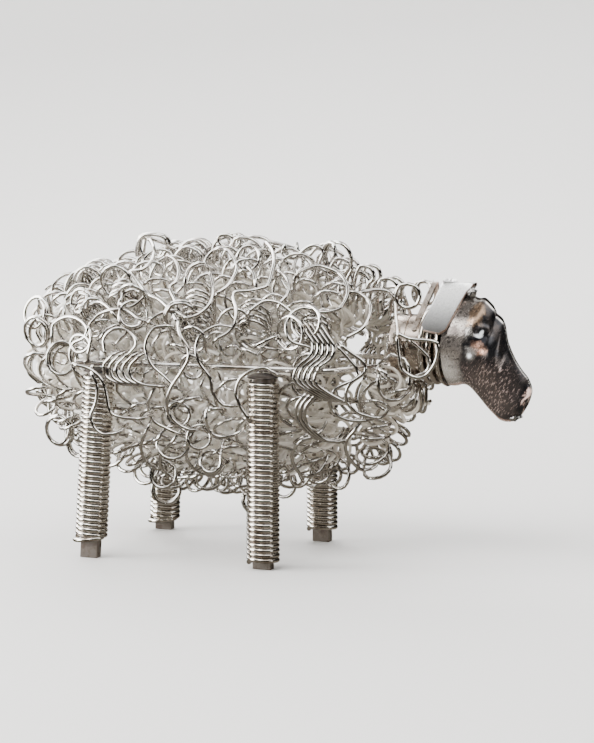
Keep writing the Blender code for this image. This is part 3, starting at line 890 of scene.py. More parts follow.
def coil_line(start, end, fleece, chance, size, inset, slide, proud, loose, side_loose=1.0):
    """One irregular coil round the body between two places of the winding."""
    radius = size / 2
    sizes = Wander(chance, 0.80, 1.14)
    outs = Wander(chance, -1.2, 0.6)
    prouds = Wander(chance, -0.4, proud)
    shifts = Wander(chance, -1.0, 1.0)
    topples = Wander(chance, -16, 16)
    twists = Wander(chance, -0.3, 0.3)
    pitches = Wander(chance, 0.8, 1.25)
    fine = 600
    places = [start + (end - start) * i / fine for i in range(fine + 1)]
    line = [middle_line(where, inset, slide, radius)[0] for where in places]
    travelled = [0.0]
    for first, second in zip(line, line[1:]):
        travelled.append(travelled[-1] + (second - first).length)
    groups = tight_places(travelled[-1], chance, fleece.group_spacing)
    step = (end - start) / fine
    points = []
    distance = 0.0
    turns = chance.uniform(0, 1)
    while distance < travelled[-1]:
        where = float(np.interp(distance, travelled, places))
        centre, outward = middle_line(where, inset, slide, radius)
        after, before = (middle_line(where + gap, inset, slide, radius)[0] for gap in (step, -step))
        along = (after - before).normalized()
        outward = (outward - along * outward.dot(along)).normalized()
        across = along.cross(outward)
        calm = tightness(distance, groups) * min(1.0, max(0.0, (centre.z - 60) / 8))
        standing = abs(math.cos(TAU * where))
        topple = math.radians(66 - 48 * standing + topples.at(turns) * (1 - calm))
        reach = (radius - fleece.wire / 2) * (sizes.at(turns) * (1 - calm) + 1.08 * calm)
        reach *= 1 + 0.12 * (side_loose - 1) * (1 - standing)
        turn = TAU * turns
        offset = outward * (math.cos(turn) * math.cos(topple)) + along * (math.cos(turn) * math.sin(topple))
        offset += across * math.sin(turn) + along * (twists.at(turns) * math.sin(turn) * (1 - calm))
        lift = outs.at(turns) * (1 - calm) + prouds.at(turns) * standing
        lift += radius * 0.55 * (1 - math.cos(topple))
        point = centre + offset * reach + outward * lift + across * (shifts.at(turns) * (1 - calm))
        points.append(place(*clear_point(point)))
        stretch = 1 + (side_loose - 1) * (1 - standing) * min(1.0, where)
        pitch = loose * stretch * pitches.at(turns) * (1 - calm) + fleece.tight * calm
        distance += pitch / fleece.steps
        turns += 1 / fleece.steps
    return points


def beside_leg(where):
    centre = middle_line(where, 0.0, 0.0, 0.0)[0]
    return centre.z < 68 and min(abs(centre.x - leg_x) for leg_x in LEG_MIDDLES) < 12


def loose_loop(fleece, chance, where):
    """A short curl that stands on the surface: a turn and a half with its ends pushed into the body."""
    centre, outward = middle_line(where, 0.0, chance.uniform(-5.5, 5.5), 0.0)
    radius = chance.uniform(3.4, 5.1)
    upright = abs(outward.z)
    normal = Vector((chance.uniform(-0.35, 0.35), 1.0, chance.uniform(-0.35, 0.35))).normalized()
    first = (outward - normal * outward.dot(normal) + Vector((chance.uniform(-1, 1), 0, 0.2))).normalized()
    first = (first - normal * first.dot(normal)).normalized()
    second = normal.cross(first)
    middle = centre + outward * (radius * (0.45 * upright - 0.1) - 0.4)
    start = chance.uniform(0, TAU)
    length = chance.uniform(1.15, 1.9) * TAU
    drift = normal * chance.uniform(0.8, 1.6) * (1 if chance.random() < 0.5 else -1)
    count = int(length / TAU * fleece.steps)
    points = []
    for i in range(count + 1):
        turn = start + length * i / count
        grow = radius * (0.92 + 0.16 * i / count)
        spoke = first * math.cos(turn) + second * math.sin(turn)
        points.append(middle + spoke * grow + drift * (i / count - 0.5))
    return [place(*clear_point(point)) for point in tuck_ends(points)]


def tuck_ends(points):
    """Carries both ends of a curl on into the body."""
    ends = []
    for tip, before in ((points[0], points[1]), (points[-1], points[-2])):
        onward = (tip - before).normalized()
        inward = (Vector((tip.x, 0.0, BODY_AXIS_Z)) - tip).normalized()
        ends.append([tip + onward * on + inward * deep for on, deep in ((1.6, 0.9), (2.4, 3.0), (2.6, 5.5))])
    return ends[0][::-1] + points + ends[1]


def near_surface(x, z):
    """Y of the fleece's outside on the right side."""
    low, high, half_width = body_at(x)
    height = (z - (low + high) / 2) / ((high - low) / 2)
    return -half_width * math.sqrt(max(0.0, 1 - height * height))


def seen_at_depth(u, v, y):
    """The point with this Y behind a place across and down in the view."""
    ahead, right, up = view_axes()
    ray = ahead * VIEW_FOCAL + right * (u - IMAGE_SIZE[0] / 2) - up * (v - IMAGE_SIZE[1] / 2)
    return VIEW_FROM + ray * ((y - VIEW_FROM.y) / ray.y)


def seen_at(u, v, out=0.0):
    """The point of the fleece's near side behind a place in the view, or outside it by some mm."""
    y = -20.0
    for _ in range(12):
        point = seen_at_depth(u, v, y)
        y = 0.5 * y + 0.5 * (near_surface(point.x, point.z) - out)
    return seen_at_depth(u, v, y)


# Curls that stand out on the near side: how far out in mm, then places across and down in the view.
NEAR_CURLS = (
    (1.4, (219, 248), (227, 250), (233, 257), (237, 266), (235, 275), (228, 286), (218, 293)),
    (
        1.6,
        (266, 242), (272, 250), (274, 261), (272, 272), (268, 285), (259, 289), (248, 291),
        (236, 292), (233, 297), (236, 308), (236, 319), (234, 326), (228, 333), (217, 339),
    ),
    (0.8, (247, 266), (253, 273), (255, 281)),
    (1.0, (279, 271), (286, 277), (289, 286), (287, 295), (281, 302)),
    (0.8, (250, 311), (258, 305), (266, 301), (279, 303), (290, 311), (293, 315)),
    (
        1.8,
        (298, 273), (305, 269), (318, 266), (330, 269), (341, 275),
        (347, 286), (347, 296), (341, 307), (332, 311),
        (321, 312), (305, 308), (295, 311), (288, 319), (286, 330), (291, 341), (305, 346),
    ),
    (1.2, (348, 337), (363, 328), (370, 314), (369, 302), (360, 294), (353, 292)),
    (
        1.2,
        (342, 346), (351, 353), (363, 362), (365, 372), (351, 383),
        (346, 393), (348, 404), (358, 413), (374, 418),
    ),
    (
        0.8,
        (339, 348), (348, 358), (357, 370), (355, 379), (337, 388),
        (330, 400), (334, 413), (348, 420), (365, 421),
    ),
    (1.2, (362, 292), (376, 290), (388, 292), (395, 300), (396, 316), (398, 334), (400, 341)),
    (1.2, (378, 379), (379, 390), (386, 399), (399, 399), (409, 390), (412, 381)),
    (1.0, (313, 437), (300, 442), (292, 455), (295, 467), (304, 476), (316, 474)),
    (1.0, (355, 430), (346, 442), (348, 456), (360, 469), (371, 469)),
    (1.6, (140, 245), (142, 237), (150, 240), (154, 250), (151, 262), (142, 270), (132, 271)),
    (1.2, (131, 273), (140, 284), (148, 294), (160, 300), (170, 310), (176, 320)),
    (1.2, (168, 256), (176, 262), (179, 272), (176, 282), (170, 288), (174, 298), (178, 308)),
    (1.0, (186, 276), (190, 268), (199, 263)),
    (1.2, (90, 324), (100, 314), (114, 310), (128, 311), (138, 318), (148, 322)),
    (
        1.4,
        (150, 321), (160, 314), (174, 311), (184, 316), (188, 318),
        (200, 314), (210, 304), (213, 290), (210, 274),
    ),
    (1.2, (168, 326), (155, 328), (147, 339), (146, 351), (152, 365), (164, 376), (174, 386)),
    (
        1.6,
        (178, 322), (180, 334), (188, 348), (188, 360), (180, 374),
        (172, 386), (167, 400), (169, 414), (178, 424), (190, 430),
    ),
    (
        1.4,
        (232, 327), (217, 326), (201, 335), (196, 348), (199, 362),
        (210, 378), (213, 393), (222, 404), (231, 406),
    ),
    (1.0, (152, 393), (148, 406), (153, 420), (166, 428), (180, 434)),
    (1.0, (206, 418), (210, 432), (222, 437), (234, 435)),
    (0.8, (145, 434), (141, 446), (145, 460), (157, 469)),
    (0.8, (173, 441), (161, 455), (162, 469), (173, 477), (187, 477)),
    (0.8, (190, 439), (186, 451), (189, 463), (199, 472), (210, 475)),
    (1.0, (52, 336), (54, 324), (66, 317), (78, 319), (86, 326), (88, 336)),
    (1.0, (64, 312), (66, 300), (76, 293), (86, 295), (92, 302)),
    (1.0, (92, 304), (100, 302), (108, 307), (113, 313)),
    (1.0, (105, 352), (104, 339), (112, 330), (124, 329), (134, 336), (136, 345), (130, 353)),
    (1.0, (120, 301), (124, 294), (134, 290), (144, 294), (140, 301), (130, 307), (121, 304)),
    (1.2, (90, 330), (91, 341), (86, 350), (77, 352), (71, 344), (75, 336), (84, 336), (90, 343), (88, 354)),
    (1.2, (88, 328), (84, 338), (74, 343), (70, 353), (72, 364), (76, 372)),
)
# Curls that stand up at the outline, in front of the leg tops and by the neck, with their own Y in mm.
FREE_CURLS = (
    (-4.0, (232, 247), (222, 245), (218, 238), (221, 231), (228, 229), (233, 236), (232, 244), (226, 250)),
    (-2.0, (237, 233), (241, 240), (238, 246), (231, 250), (224, 247)),
    (-5.0, (240, 235), (250, 237), (258, 244), (262, 252), (261, 262)),
    (
        -5.0,
        (284, 247), (283, 254), (290, 258), (297, 257), (303, 251),
        (312, 246), (320, 247), (323, 253), (320, 261),
    ),
    (-3.0, (192, 252), (196, 245), (204, 246), (209, 253), (206, 262), (198, 264)),
    (-3.0, (162, 252), (168, 247), (176, 250), (180, 258)),
    (-3.0, (98, 278), (98, 268), (106, 263), (114, 268), (113, 278), (104, 281)),
    (-3.0, (120, 272), (124, 263), (133, 264), (136, 273), (130, 280)),
    (-3.0, (70, 294), (68, 283), (76, 276), (87, 277), (92, 286), (87, 295)),
    (-2.0, (50, 305), (48, 294), (56, 288), (64, 292), (65, 302), (58, 308)),
    (-1.0, (42, 342), (37, 331), (42, 319), (53, 316), (60, 325), (56, 337)),
    (-1.0, (38, 382), (29, 373), (29, 360), (38, 352), (50, 354), (55, 366), (49, 379)),
    (-1.0, (46, 396), (42, 386), (50, 379), (60, 383), (62, 394), (54, 402)),
    (-1.0, (60, 422), (53, 412), (58, 402), (69, 403), (74, 413), (68, 423)),
    (-2.0, (74, 440), (66, 431), (70, 420), (81, 420), (87, 430), (82, 440)),
    (-3.0, (330, 268), (336, 260), (346, 260), (352, 268), (348, 277)),
    (-3.0, (356, 276), (360, 267), (370, 268), (374, 277), (368, 285)),
    (-3.0, (378, 290), (380, 281), (390, 279), (397, 286), (393, 295)),
    (-32.5, (76, 365), (90, 369), (101, 379), (106, 393), (110, 411), (120, 417), (138, 419)),
    (-32.8, (92, 374), (97, 386), (96, 402), (91, 416), (94, 427), (103, 434), (113, 434)),
    (-31.0, (248, 418), (239, 404), (236, 392), (240, 379), (251, 371), (265, 368), (272, 372)),
    (
        -14.0,
        (399, 334), (411, 339), (432, 341), (438, 346), (435, 363),
        (425, 376), (414, 377), (402, 369), (399, 355), (397, 339),
    ),
    (-12.5, (411, 341), (423, 351), (429, 360), (427, 371), (414, 377)),
    (
        -8.0,
        (408, 284), (416, 287), (420, 296), (416, 305), (407, 308),
        (399, 304), (396, 296), (399, 287), (408, 284),
    ),
)
# Groups of parallel curls: how far out, how many, the step between them in the view, then places.
CURL_GROUPS = (
    (
        1.2, 5, (5.2, 0.6),
        (300, 323), (307, 334), (313, 344), (311, 355), (302, 363),
        (295, 372), (295, 381), (306, 390), (320, 398),
    ),
    (1.0, 5, (6.5, 0.4), (113, 355), (104, 365), (106, 376), (118, 383), (134, 385)),
    (1.0, 3, (4.5, 1.0), (303, 397), (297, 405), (296, 417), (303, 428), (316, 438), (330, 440)),
)


def drawn_curls():
    """The curls that are drawn, as rows of points in mm."""
    lines = []
    for out, *spots in NEAR_CURLS:
        lines.append([seen_at(u, v, out) for u, v in spots])
    for out, count, (step_u, step_v), *spots in CURL_GROUPS:
        for i in range(count):
            lines.append([seen_at(u + i * step_u, v + i * step_v, out + 0.12 * i) for u, v in spots])
    for y, *spots in FREE_CURLS:
        lines.append([seen_at_depth(u, v, y) for u, v in spots])
    return [smooth_line(line, 7) for line in lines]


def curl_lines():
    """Drawn curls on the near side, and the same curls on the far side."""
    lines = []
    for points in drawn_curls():
        for flip in (Vector((1, 1, 1)), Vector((1, -1, 1))):
            lines.append([place(*clear_point(point * flip, 80.0)) for point in tuck_ends(points)])
    return lines


# Outer coils: how much farther in they run, how far they are moved along X, and how proud they stand.
OUTER_COILS = ((0.0, 0.0, 2.2), (0.8, 6.3, 1.4))
OUTER_STRETCH = 1.75
# Inner coils: how much farther in and along X they run, their size and their pitch in mm.
INNER_COILS = ((6.0, 3.0), (8.5, -3.0))
INNER_COIL_SIZE, INNER_COIL_PITCH = 9.6, 4.6
# Colour of the inner wire, pale as painted light, of its dull patches, and of its end at the chest, darker as
# painted shade.
INNER_COLOURS = ((0.98, 0.95, 0.89), (0.84, 0.78, 0.68), (0.60, 0.55, 0.47))


class SHEEP_OT_fleece(bpy.types.Operator):
    """Winds the irregular coils of the fleece round the body and adds its loose curls"""

    bl_idname = "sheep.fleece"
    bl_label = "Fleece"

    def execute(self, context):
        fleece = context.scene.sheep_fleece
        finish = drawn_wire_finish("bright wire", tuple(fleece.colour), tuple(fleece.tarnish), 0.09)
        # The inner wire is painted pale as painted light for the bright inside of the fleece.
        inner_finish = satin_wire_finish("inner wire", *INNER_COLOURS)
        radius = fleece.coil / 2
        for number, (name, start, end) in enumerate(FLEECE_LENGTHS):
            chance = random.Random(fleece.seed + number)
            lines = []
            for inset, slide, proud in OUTER_COILS:
                shape = (fleece.coil, radius + inset, slide, proud, fleece.loose, OUTER_STRETCH)
                lines.append(coil_line(start, end, fleece, chance, *shape))
            self.strands(f"fleece_{name}", lines, fleece, fleece.sides, finish, f"fleece_wire_{name}")
            lines = []
            for inset, slide in INNER_COILS:
                shape = (INNER_COIL_SIZE, radius + inset, slide, 0.0, INNER_COIL_PITCH)
                lines.append(coil_line(start, end, fleece, chance, *shape))
            self.strands(f"inner_fleece_{name}", lines, fleece, 6, inner_finish)
        chance = random.Random(fleece.seed + 50)
        places = [chance.uniform(0.3, 9.0) for _ in range(fleece.loops)]
        loops = [loose_loop(fleece, chance, where) for where in places if not beside_leg(where)]
        self.strands("fleece_loops", loops, fleece, fleece.sides, finish)
        self.strands("fleece_curls", curl_lines(), fleece, 8, finish)
        return {"FINISHED"}

    def strands(self, name, lines, fleece, sides, finish, *nodes):
        """Fleece wire along the lines, which stands for these solids."""
        settle(wires(name, lines, fleece.wire / 2, sides, finish), "bright_wire", *nodes)


# Neck.

# Wall of the neck tube in mm.
NECK_WALL = 1.2


class SHEEP_OT_neck(bpy.types.Operator):
    """Turns the neck barrel, its rings and the collar behind the head"""

    bl_idname = "sheep.neck"
    bl_label = "Neck"

    def execute(self, context):
        finish = smooth_metal_finish("neck metal", (0.50, 0.43, 0.37), (0.26, 0.20, 0.16), 0.24)
        ring_finish = smooth_metal_finish("neck rings", (0.66, 0.62, 0.57), (0.28, 0.22, 0.18), 0.16)
        low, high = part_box("neck_barrel")
        radius = (high[2] - low[2]) / 2
        origin = Vector((low[0], (low[1] + high[1]) / 2, (low[2] + high[2]) / 2))
        length = high[0] - low[0]
        groove = 0.00035
        bore = radius - NECK_WALL * MM
        edge = 0.0006
        profile = [(0.0, bore), (0.0, radius - edge), (0.0002, radius - 0.0002), (0.0007, radius)]
        profile += [(length * 0.24, radius), (length * 0.25, radius - groove)]
        profile += [(length * 0.265, radius - groove), (length * 0.275, radius), (length * 0.6, radius)]
        profile += [(length - edge, radius), (length, radius - edge), (length, bore)]
        mesh = bmesh.new()
        self.ring(mesh, profile, origin)
        settle(mesh_object("neck", mesh, finish, 35.0), "neck_metal", "neck_barrel")
        for number in (1, 2, 3):
            ring_low, ring_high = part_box(f"neck_ring_{number}")
            outer = (ring_high[2] - ring_low[2]) / 2
            middle = (ring_low[0] + ring_high[0]) / 2
            mesh = bmesh.new()
            profile = self.round_ring(outer, 0.0009) if number < 3 else self.collar(outer)
            self.ring(mesh, profile, Vector((middle, origin.y, origin.z)))
            piece = mesh_object(f"ring_{number}", mesh, ring_finish, 50.0)
            settle(piece, "polished_rod", f"neck_ring_{number}")
        return {"FINISHED"}

    def round_ring(self, outer, section):
        """The section of a ring of round wire, by its outside and the wire's radius."""
        turns = [TAU * i / 14 for i in range(14)]
        return [(section * math.cos(turn), outer - section + section * math.sin(turn)) for turn in turns]

    def collar(self, outer):
        """The section of a flared lip that opens towards the head, in mm along and out from the rings."""
        lip = (
            (-1.2, -2.1), (-1.2, -1.2), (-0.6, -0.4), (0.2, 0.1), (0.9, 0.4),
            (1.1, 0.3), (1.1, 0.0), (0.3, -0.5), (-0.2, -1.2), (-0.4, -2.1),
        )
        return [(along * MM, outer + out * MM) for along, out in lip]

    def ring(self, mesh, profile, centre):
        """Turns a closed profile of (distance along X, radius) round the X axis through a centre."""
        rows = []
        for i in range(72):
            turn = TAU * i / 72
            out = Vector((0, math.cos(turn), math.sin(turn)))
            points = [centre + Vector((along, 0, 0)) + out * radius for along, radius in profile]
            rows.append([mesh.verts.new(point) for point in points])
        skin(mesh, rows + rows[:1], closed=True)


# Head.

# Jaw line and brow line from the back of the head to the muzzle, X and Z in mm, and the bulge's share.
HEAD_LINES = (
    ((79.5, 54.8), (80.1, 84.5), 1.00),
    ((81.2, 54.9), (83.0, 84.0), 0.97),
    ((83.0, 55.4), (85.6, 83.0), 0.92),
    ((84.8, 55.0), (87.8, 82.0), 0.86),
    ((86.4, 53.8), (89.6, 82.1), 0.80),
    ((87.8, 52.3), (91.2, 80.8), 0.73),
    ((89.2, 50.7), (92.4, 79.4), 0.66),
    ((90.4, 49.3), (93.0, 77.7), 0.60),
    ((91.4, 48.2), (94.2, 76.8), 0.54),
    ((92.5, 47.1), (95.3, 75.5), 0.48),
    ((93.4, 46.3), (95.8, 72.8), 0.43),
    ((94.6, 45.2), (96.3, 70.0), 0.38),
    ((95.9, 44.7), (97.7, 66.5), 0.34),
    ((97.0, 44.6), (99.3, 63.5), 0.30),
    ((98.2, 44.8), (101.0, 61.1), 0.27),
    ((99.2, 45.3), (102.7, 59.0), 0.23),
    ((99.9, 46.1), (103.8, 56.6), 0.19),
    ((100.4, 46.9), (104.0, 54.8), 0.15),
    ((100.7, 47.7), (103.5, 53.4), 0.12),
    ((100.8, 48.4), (102.4, 52.0), 0.09),
    ((100.9, 49.0), (101.4, 50.8), 0.06),
)
# How the bulge swells from the jaw to the brow, with a flat rim at the brow.
SWELL = (
    (0.0, 0.0), (0.04, 0.30), (0.12, 0.62), (0.24, 0.86), (0.38, 0.98), (0.52, 0.96),
    (0.66, 0.80), (0.78, 0.58), (0.88, 0.32), (0.945, 0.08), (0.97, 0.0), (1.0, 0.0),
)
# Hollows and rises of each plate: middle in X and Z, half sizes and height in mm.
HEAD_FORMS = (
    ((88.3, 63.8), (3.4, 4.0), 1.2),
    ((90.6, 70.4), (1.9, 2.0), -1.4),
    ((88.4, 76.0), (2.6, 3.8), 0.8),
    ((86.4, 71.0), (1.4, 2.4), 0.2),
    ((101.0, 50.4), (2.4, 1.8), 0.6),
    ((99.6, 55.0), (2.0, 3.4), -0.4),
)


# Solder: its place on the head, its middle and its half sizes in mm.
DROPS = (
    ("crown", (85.5, -1.7, 83.0), (2.1, 1.6, 1.7)),
    ("muzzle", (98.6, -0.8, 46.6), (2.5, 1.7, 1.5)),
)
# Half the gap between the plates in mm.
SEAM_HALF = 0.16


def smooth_values(values, count):
    """Reads a smooth row of numbers or points at evenly spaced places."""
    line = smooth_line([Vector(value) for value in values], 16)
    positions = np.linspace(0, len(line) - 1, count)
    result = []
    for position in positions:
        i = min(int(position), len(line) - 2)
        result.append(line[i].lerp(line[i + 1], position - i))
    return result


def form_depth(x, z, swell):
    """What the hollows and rises of the plate add at a place."""
    depth = 0.0
    for (middle_x, middle_z), (size_x, size_z), height in HEAD_FORMS:
        share = math.exp(-(((x - middle_x) / size_x) ** 2) - ((z - middle_z) / size_z) ** 2)
        depth += height * share * min(1.0, max(0.0, swell) * 3)
    return depth


class SHEEP_OT_head(bpy.types.Operator):
    """Presses the two head plates and puts solder where they are joined"""

    bl_idname = "sheep.head"
    bl_label = "Head"

    def execute(self, context):
        head = context.scene.sheep_head
        finish = head_finish(head)
        for side in SIDES:
            self.plate(side, head, finish)
        self.drops(solder_finish())
        return {"FINISHED"}

    def plate(self, side, head, finish):
        sign = SIDES[side]
        rows, columns = 90, 60
        jaws = smooth_values([(x, z, 0) for (x, z), _, _ in HEAD_LINES], rows)
        brows = smooth_values([(x, z, 0) for _, (x, z), _ in HEAD_LINES], rows)
        bulges = smooth_values([(share, 0, 0) for _, _, share in HEAD_LINES], rows)
        swells = smooth_values([(share, value, 0) for share, value in SWELL], columns)
        mesh = bmesh.new()
        rim_layer = mesh.verts.layers.float.new("rim")
        painted_brow_highlight_layer = mesh.verts.layers.float.new("ridge")
        grid = []
        inset = head.thickness
        for i in range(rows):
            jaw, brow = jaws[i].xy, brows[i].xy
            along = (brow - jaw).normalized()
            jaw, brow = jaw + along * inset, brow - along * inset
            row = []
            for j in range(columns):
                share, swell = swells[j].x, swells[j].y
                x, z = jaw.lerp(brow, share)
                depth = bulges[i].x * head.bulge * max(0.0, swell) + form_depth(x, z, swell)
                vert = mesh.verts.new(place(x, sign * (SEAM_HALF + max(0.0, depth)), z))
                edge = share if i < rows * 0.9 else min(share, 1 - share)
                vert[rim_layer] = min(1.0, max(0.0, 1.6 - edge / 0.030))
                # Painted highlight: a pale line along the brow, where the flat rim meets the bulge.
                vert[painted_brow_highlight_layer] = max(0.0, 1.0 - abs(share - 0.955) / 0.02)
                row.append(vert)
            grid.append(row)
        skin(mesh, grid, flip=sign < 0)
        data = bpy.data.meshes.new(f"plate_{side}")
        mesh.to_mesh(data)
        mesh.free()
        data.shade_smooth()
        piece = new_object(f"plate_{side}", data, finish)
        wall = piece.modifiers.new("plate thickness", "SOLIDIFY")
        wall.thickness = head.thickness * MM
        wall.offset = 1.0
        settle(round_edges(piece, 0.00018, 50), "head_plate", f"head_plate_{side}")

    def drops(self, finish):
        """Lumps of solder, each with a crease across its top."""
        for place_name, at, half in DROPS:
            centre = place(*at)
            mesh = bmesh.new()
            bmesh.ops.create_icosphere(mesh, subdivisions=5, radius=1.0)
            for vert in mesh.verts:
                lump = 1.0 + 0.34 * noise.noise(vert.co * 1.6 + centre * 900)
                lump += 0.12 * noise.noise(vert.co * 4.0)
                lump -= 0.22 * math.exp(-((vert.co.x + 0.15) / 0.22) ** 2) * max(0.0, vert.co.z)
                vert.co = centre + Vector([a * b * lump * MM for a, b in zip(vert.co, half)])
            piece = mesh_object(f"solder_{place_name}", mesh, finish, 180.0)
            settle(piece, "solder", f"solder_drop_{place_name}")


# Strap.

# By distance from the middle in mm: centre in X and half width of the strap, and of the strip behind it.
STRAP_SHAPE = ((0.0, 81.9, 5.1), (1.5, 81.2, 4.7), (3.0, 80.6, 4.3), (6.0, 79.85, 4.05), (14.5, 77.45, 3.85))
STRIP_SHAPE = ((0.0, 74.3, 0.8), (3.0, 73.7, 0.8), (12.6, 71.3, 0.8))
BAND_THICKNESS = 1.0 * MM
# Colour of the strap, of the painted shade at its lower ends, which its brush lines also take, and the
# heights in metres between them.
STRAP_COLOURS = ((0.98, 0.98, 0.97), (0.05, 0.048, 0.046))
STRAP_PAINTED_SHADE = (0.0705, 0.0880)


def folded_band(name, node, shape, slope, fold, chamfer, finish, cut_finish):
    """A flat band folded over the crown, with a rounded fold and chamfered ends."""
    low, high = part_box(node)
    top = high[2] / MM
    reach = (high[1] - low[1]) / 2 / MM
    outs, centres, halves = zip(*shape)
    steps, columns = 26, 14
    lean = math.sqrt(1 + slope * slope)
    corner = reach - chamfer / lean
    places = {reach * (i / steps) ** 1.4 for i in range(steps + 1)}
    places = sorted(places | {corner, corner - 0.02, reach - 0.02})
    line = []
    for y in [-y for y in reversed(places[1:])] + places:
        drop = slope * (math.sqrt(y * y + fold * fold) - fold)
        centre = float(np.interp(abs(y) * outs[-1] / reach, outs, centres))
        half = float(np.interp(abs(y) * outs[-1] / reach, outs, halves))
        line.append((Vector((centre, y, top - drop)), half))
    mesh = bmesh.new()
    rows = []
    for i, (middle, half) in enumerate(line):
        before, after = line[max(i - 1, 0)][0], line[min(i + 1, len(line) - 1)][0]
        along = (after - before).normalized()
        across = (Vector((1, 0, 0)) - along * along.x).normalized()
        half -= max(0.0, chamfer - (reach - abs(middle.y)) * lean) * 0.8
        points = [middle + across * half * (2 * j / columns - 1) for j in range(columns + 1)]
        rows.append([mesh.verts.new(place(*point)) for point in points])
    skin(mesh, rows)
    piece = mesh_object(name, mesh, finish, 60.0)
    if piece.data.polygons[0].normal.z < 0:
        piece.data.flip_normals()
    piece.data.materials.append(cut_finish)
    wall = piece.modifiers.new("thickness", "SOLIDIFY")
    wall.thickness = BAND_THICKNESS
    wall.offset = -1.0
    wall.material_offset_rim = 1
    return round_edges(piece, 0.00014, 50)


class SHEEP_OT_strap(bpy.types.Operator):
    """Folds the ear strap and the narrow strip over the crown"""

    bl_idname = "sheep.strap"
    bl_label = "Ear strap"

    def execute(self, context):
        turn = (0.0, math.radians(12), 0.0)
        finish = brushed_finish("brushed strap", *STRAP_COLOURS, turn, *STRAP_PAINTED_SHADE)
        cut = smooth_metal_finish("strap edge", (0.86, 0.66, 0.58), (0.62, 0.46, 0.40), 0.3)
        piece = folded_band("strap", "ear_strap", STRAP_SHAPE, 1.055, 1.6, 1.7, finish, cut)
        settle(piece, "brushed_strap", "ear_strap")
        dull = smooth_metal_finish("strip metal", (0.46, 0.40, 0.35), (0.20, 0.16, 0.13), 0.3)
        piece = folded_band("strip", "nape_strip", STRIP_SHAPE, 1.19, 1.2, 0.4, dull, dull)
        settle(piece, "neck_metal", "nape_strip")
        return {"FINISHED"}


# Floor, backdrop, lights and camera.

# Light round the studio: a dim warm base, the light from below, a bright band high up all round,
# and bright places as across, away and up from the view, with their spread in degrees and strength.
STUDIO_DIM = (0.022, 0.019, 0.016)
STUDIO_BELOW = (0.26, 0.235, 0.195)
STUDIO_BAND = (3.8, 3.8, 3.75)
STUDIO_GLOWS = (
    (-0.50, 0.70, 0.50, 32, (14.0, 14.0, 14.0)),
    (-0.25, -0.55, 0.80, 19, (9.0, 9.0, 8.9)),
    (-0.95, -0.10, 0.22, 22, (30.0, 30.0, 29.6)),
    (0.85, -0.45, 0.20, 10, (8.0, 7.9, 7.7)),
)


# Where the bright band begins and ends, as the rise of a direction of length 1.
BAND_LOW, BAND_HIGH = (0.56, 0.70), (0.95, 0.82)
# What is seen where nothing stands.
PLAIN_VIEW = (0.62, 0.62, 0.61, 1.0)
# Lamps aimed at the middle of the sheep: name, place and size in metres, power and colour.
LAMPS = (
    ("window", (-0.45, 0.85, 0.75), (0.9, 0.7), 11.0, (1.0, 1.0, 1.0)),
    ("top", (0.0, 0.1, 1.1), (0.7, 0.7), 5.0, (1.0, 0.99, 0.98)),
    ("front", (-0.60, -0.85, 0.60), (0.5, 0.5), 6.0, (1.0, 0.98, 0.95)),
)
LAMP_AIM = Vector((0, 0, 0.05))
# The floor ahead of and behind the sheep, the bend up into the wall, and half its width, in metres.
FLOOR_ENDS = (-4.0, -0.27, 0.0, 0.9)
WALL_BEND = 0.5
WALL_TOP = 3.0
FLOOR_HALF = 2.6
# The camera's sensor in mm.
SENSOR = 36.0


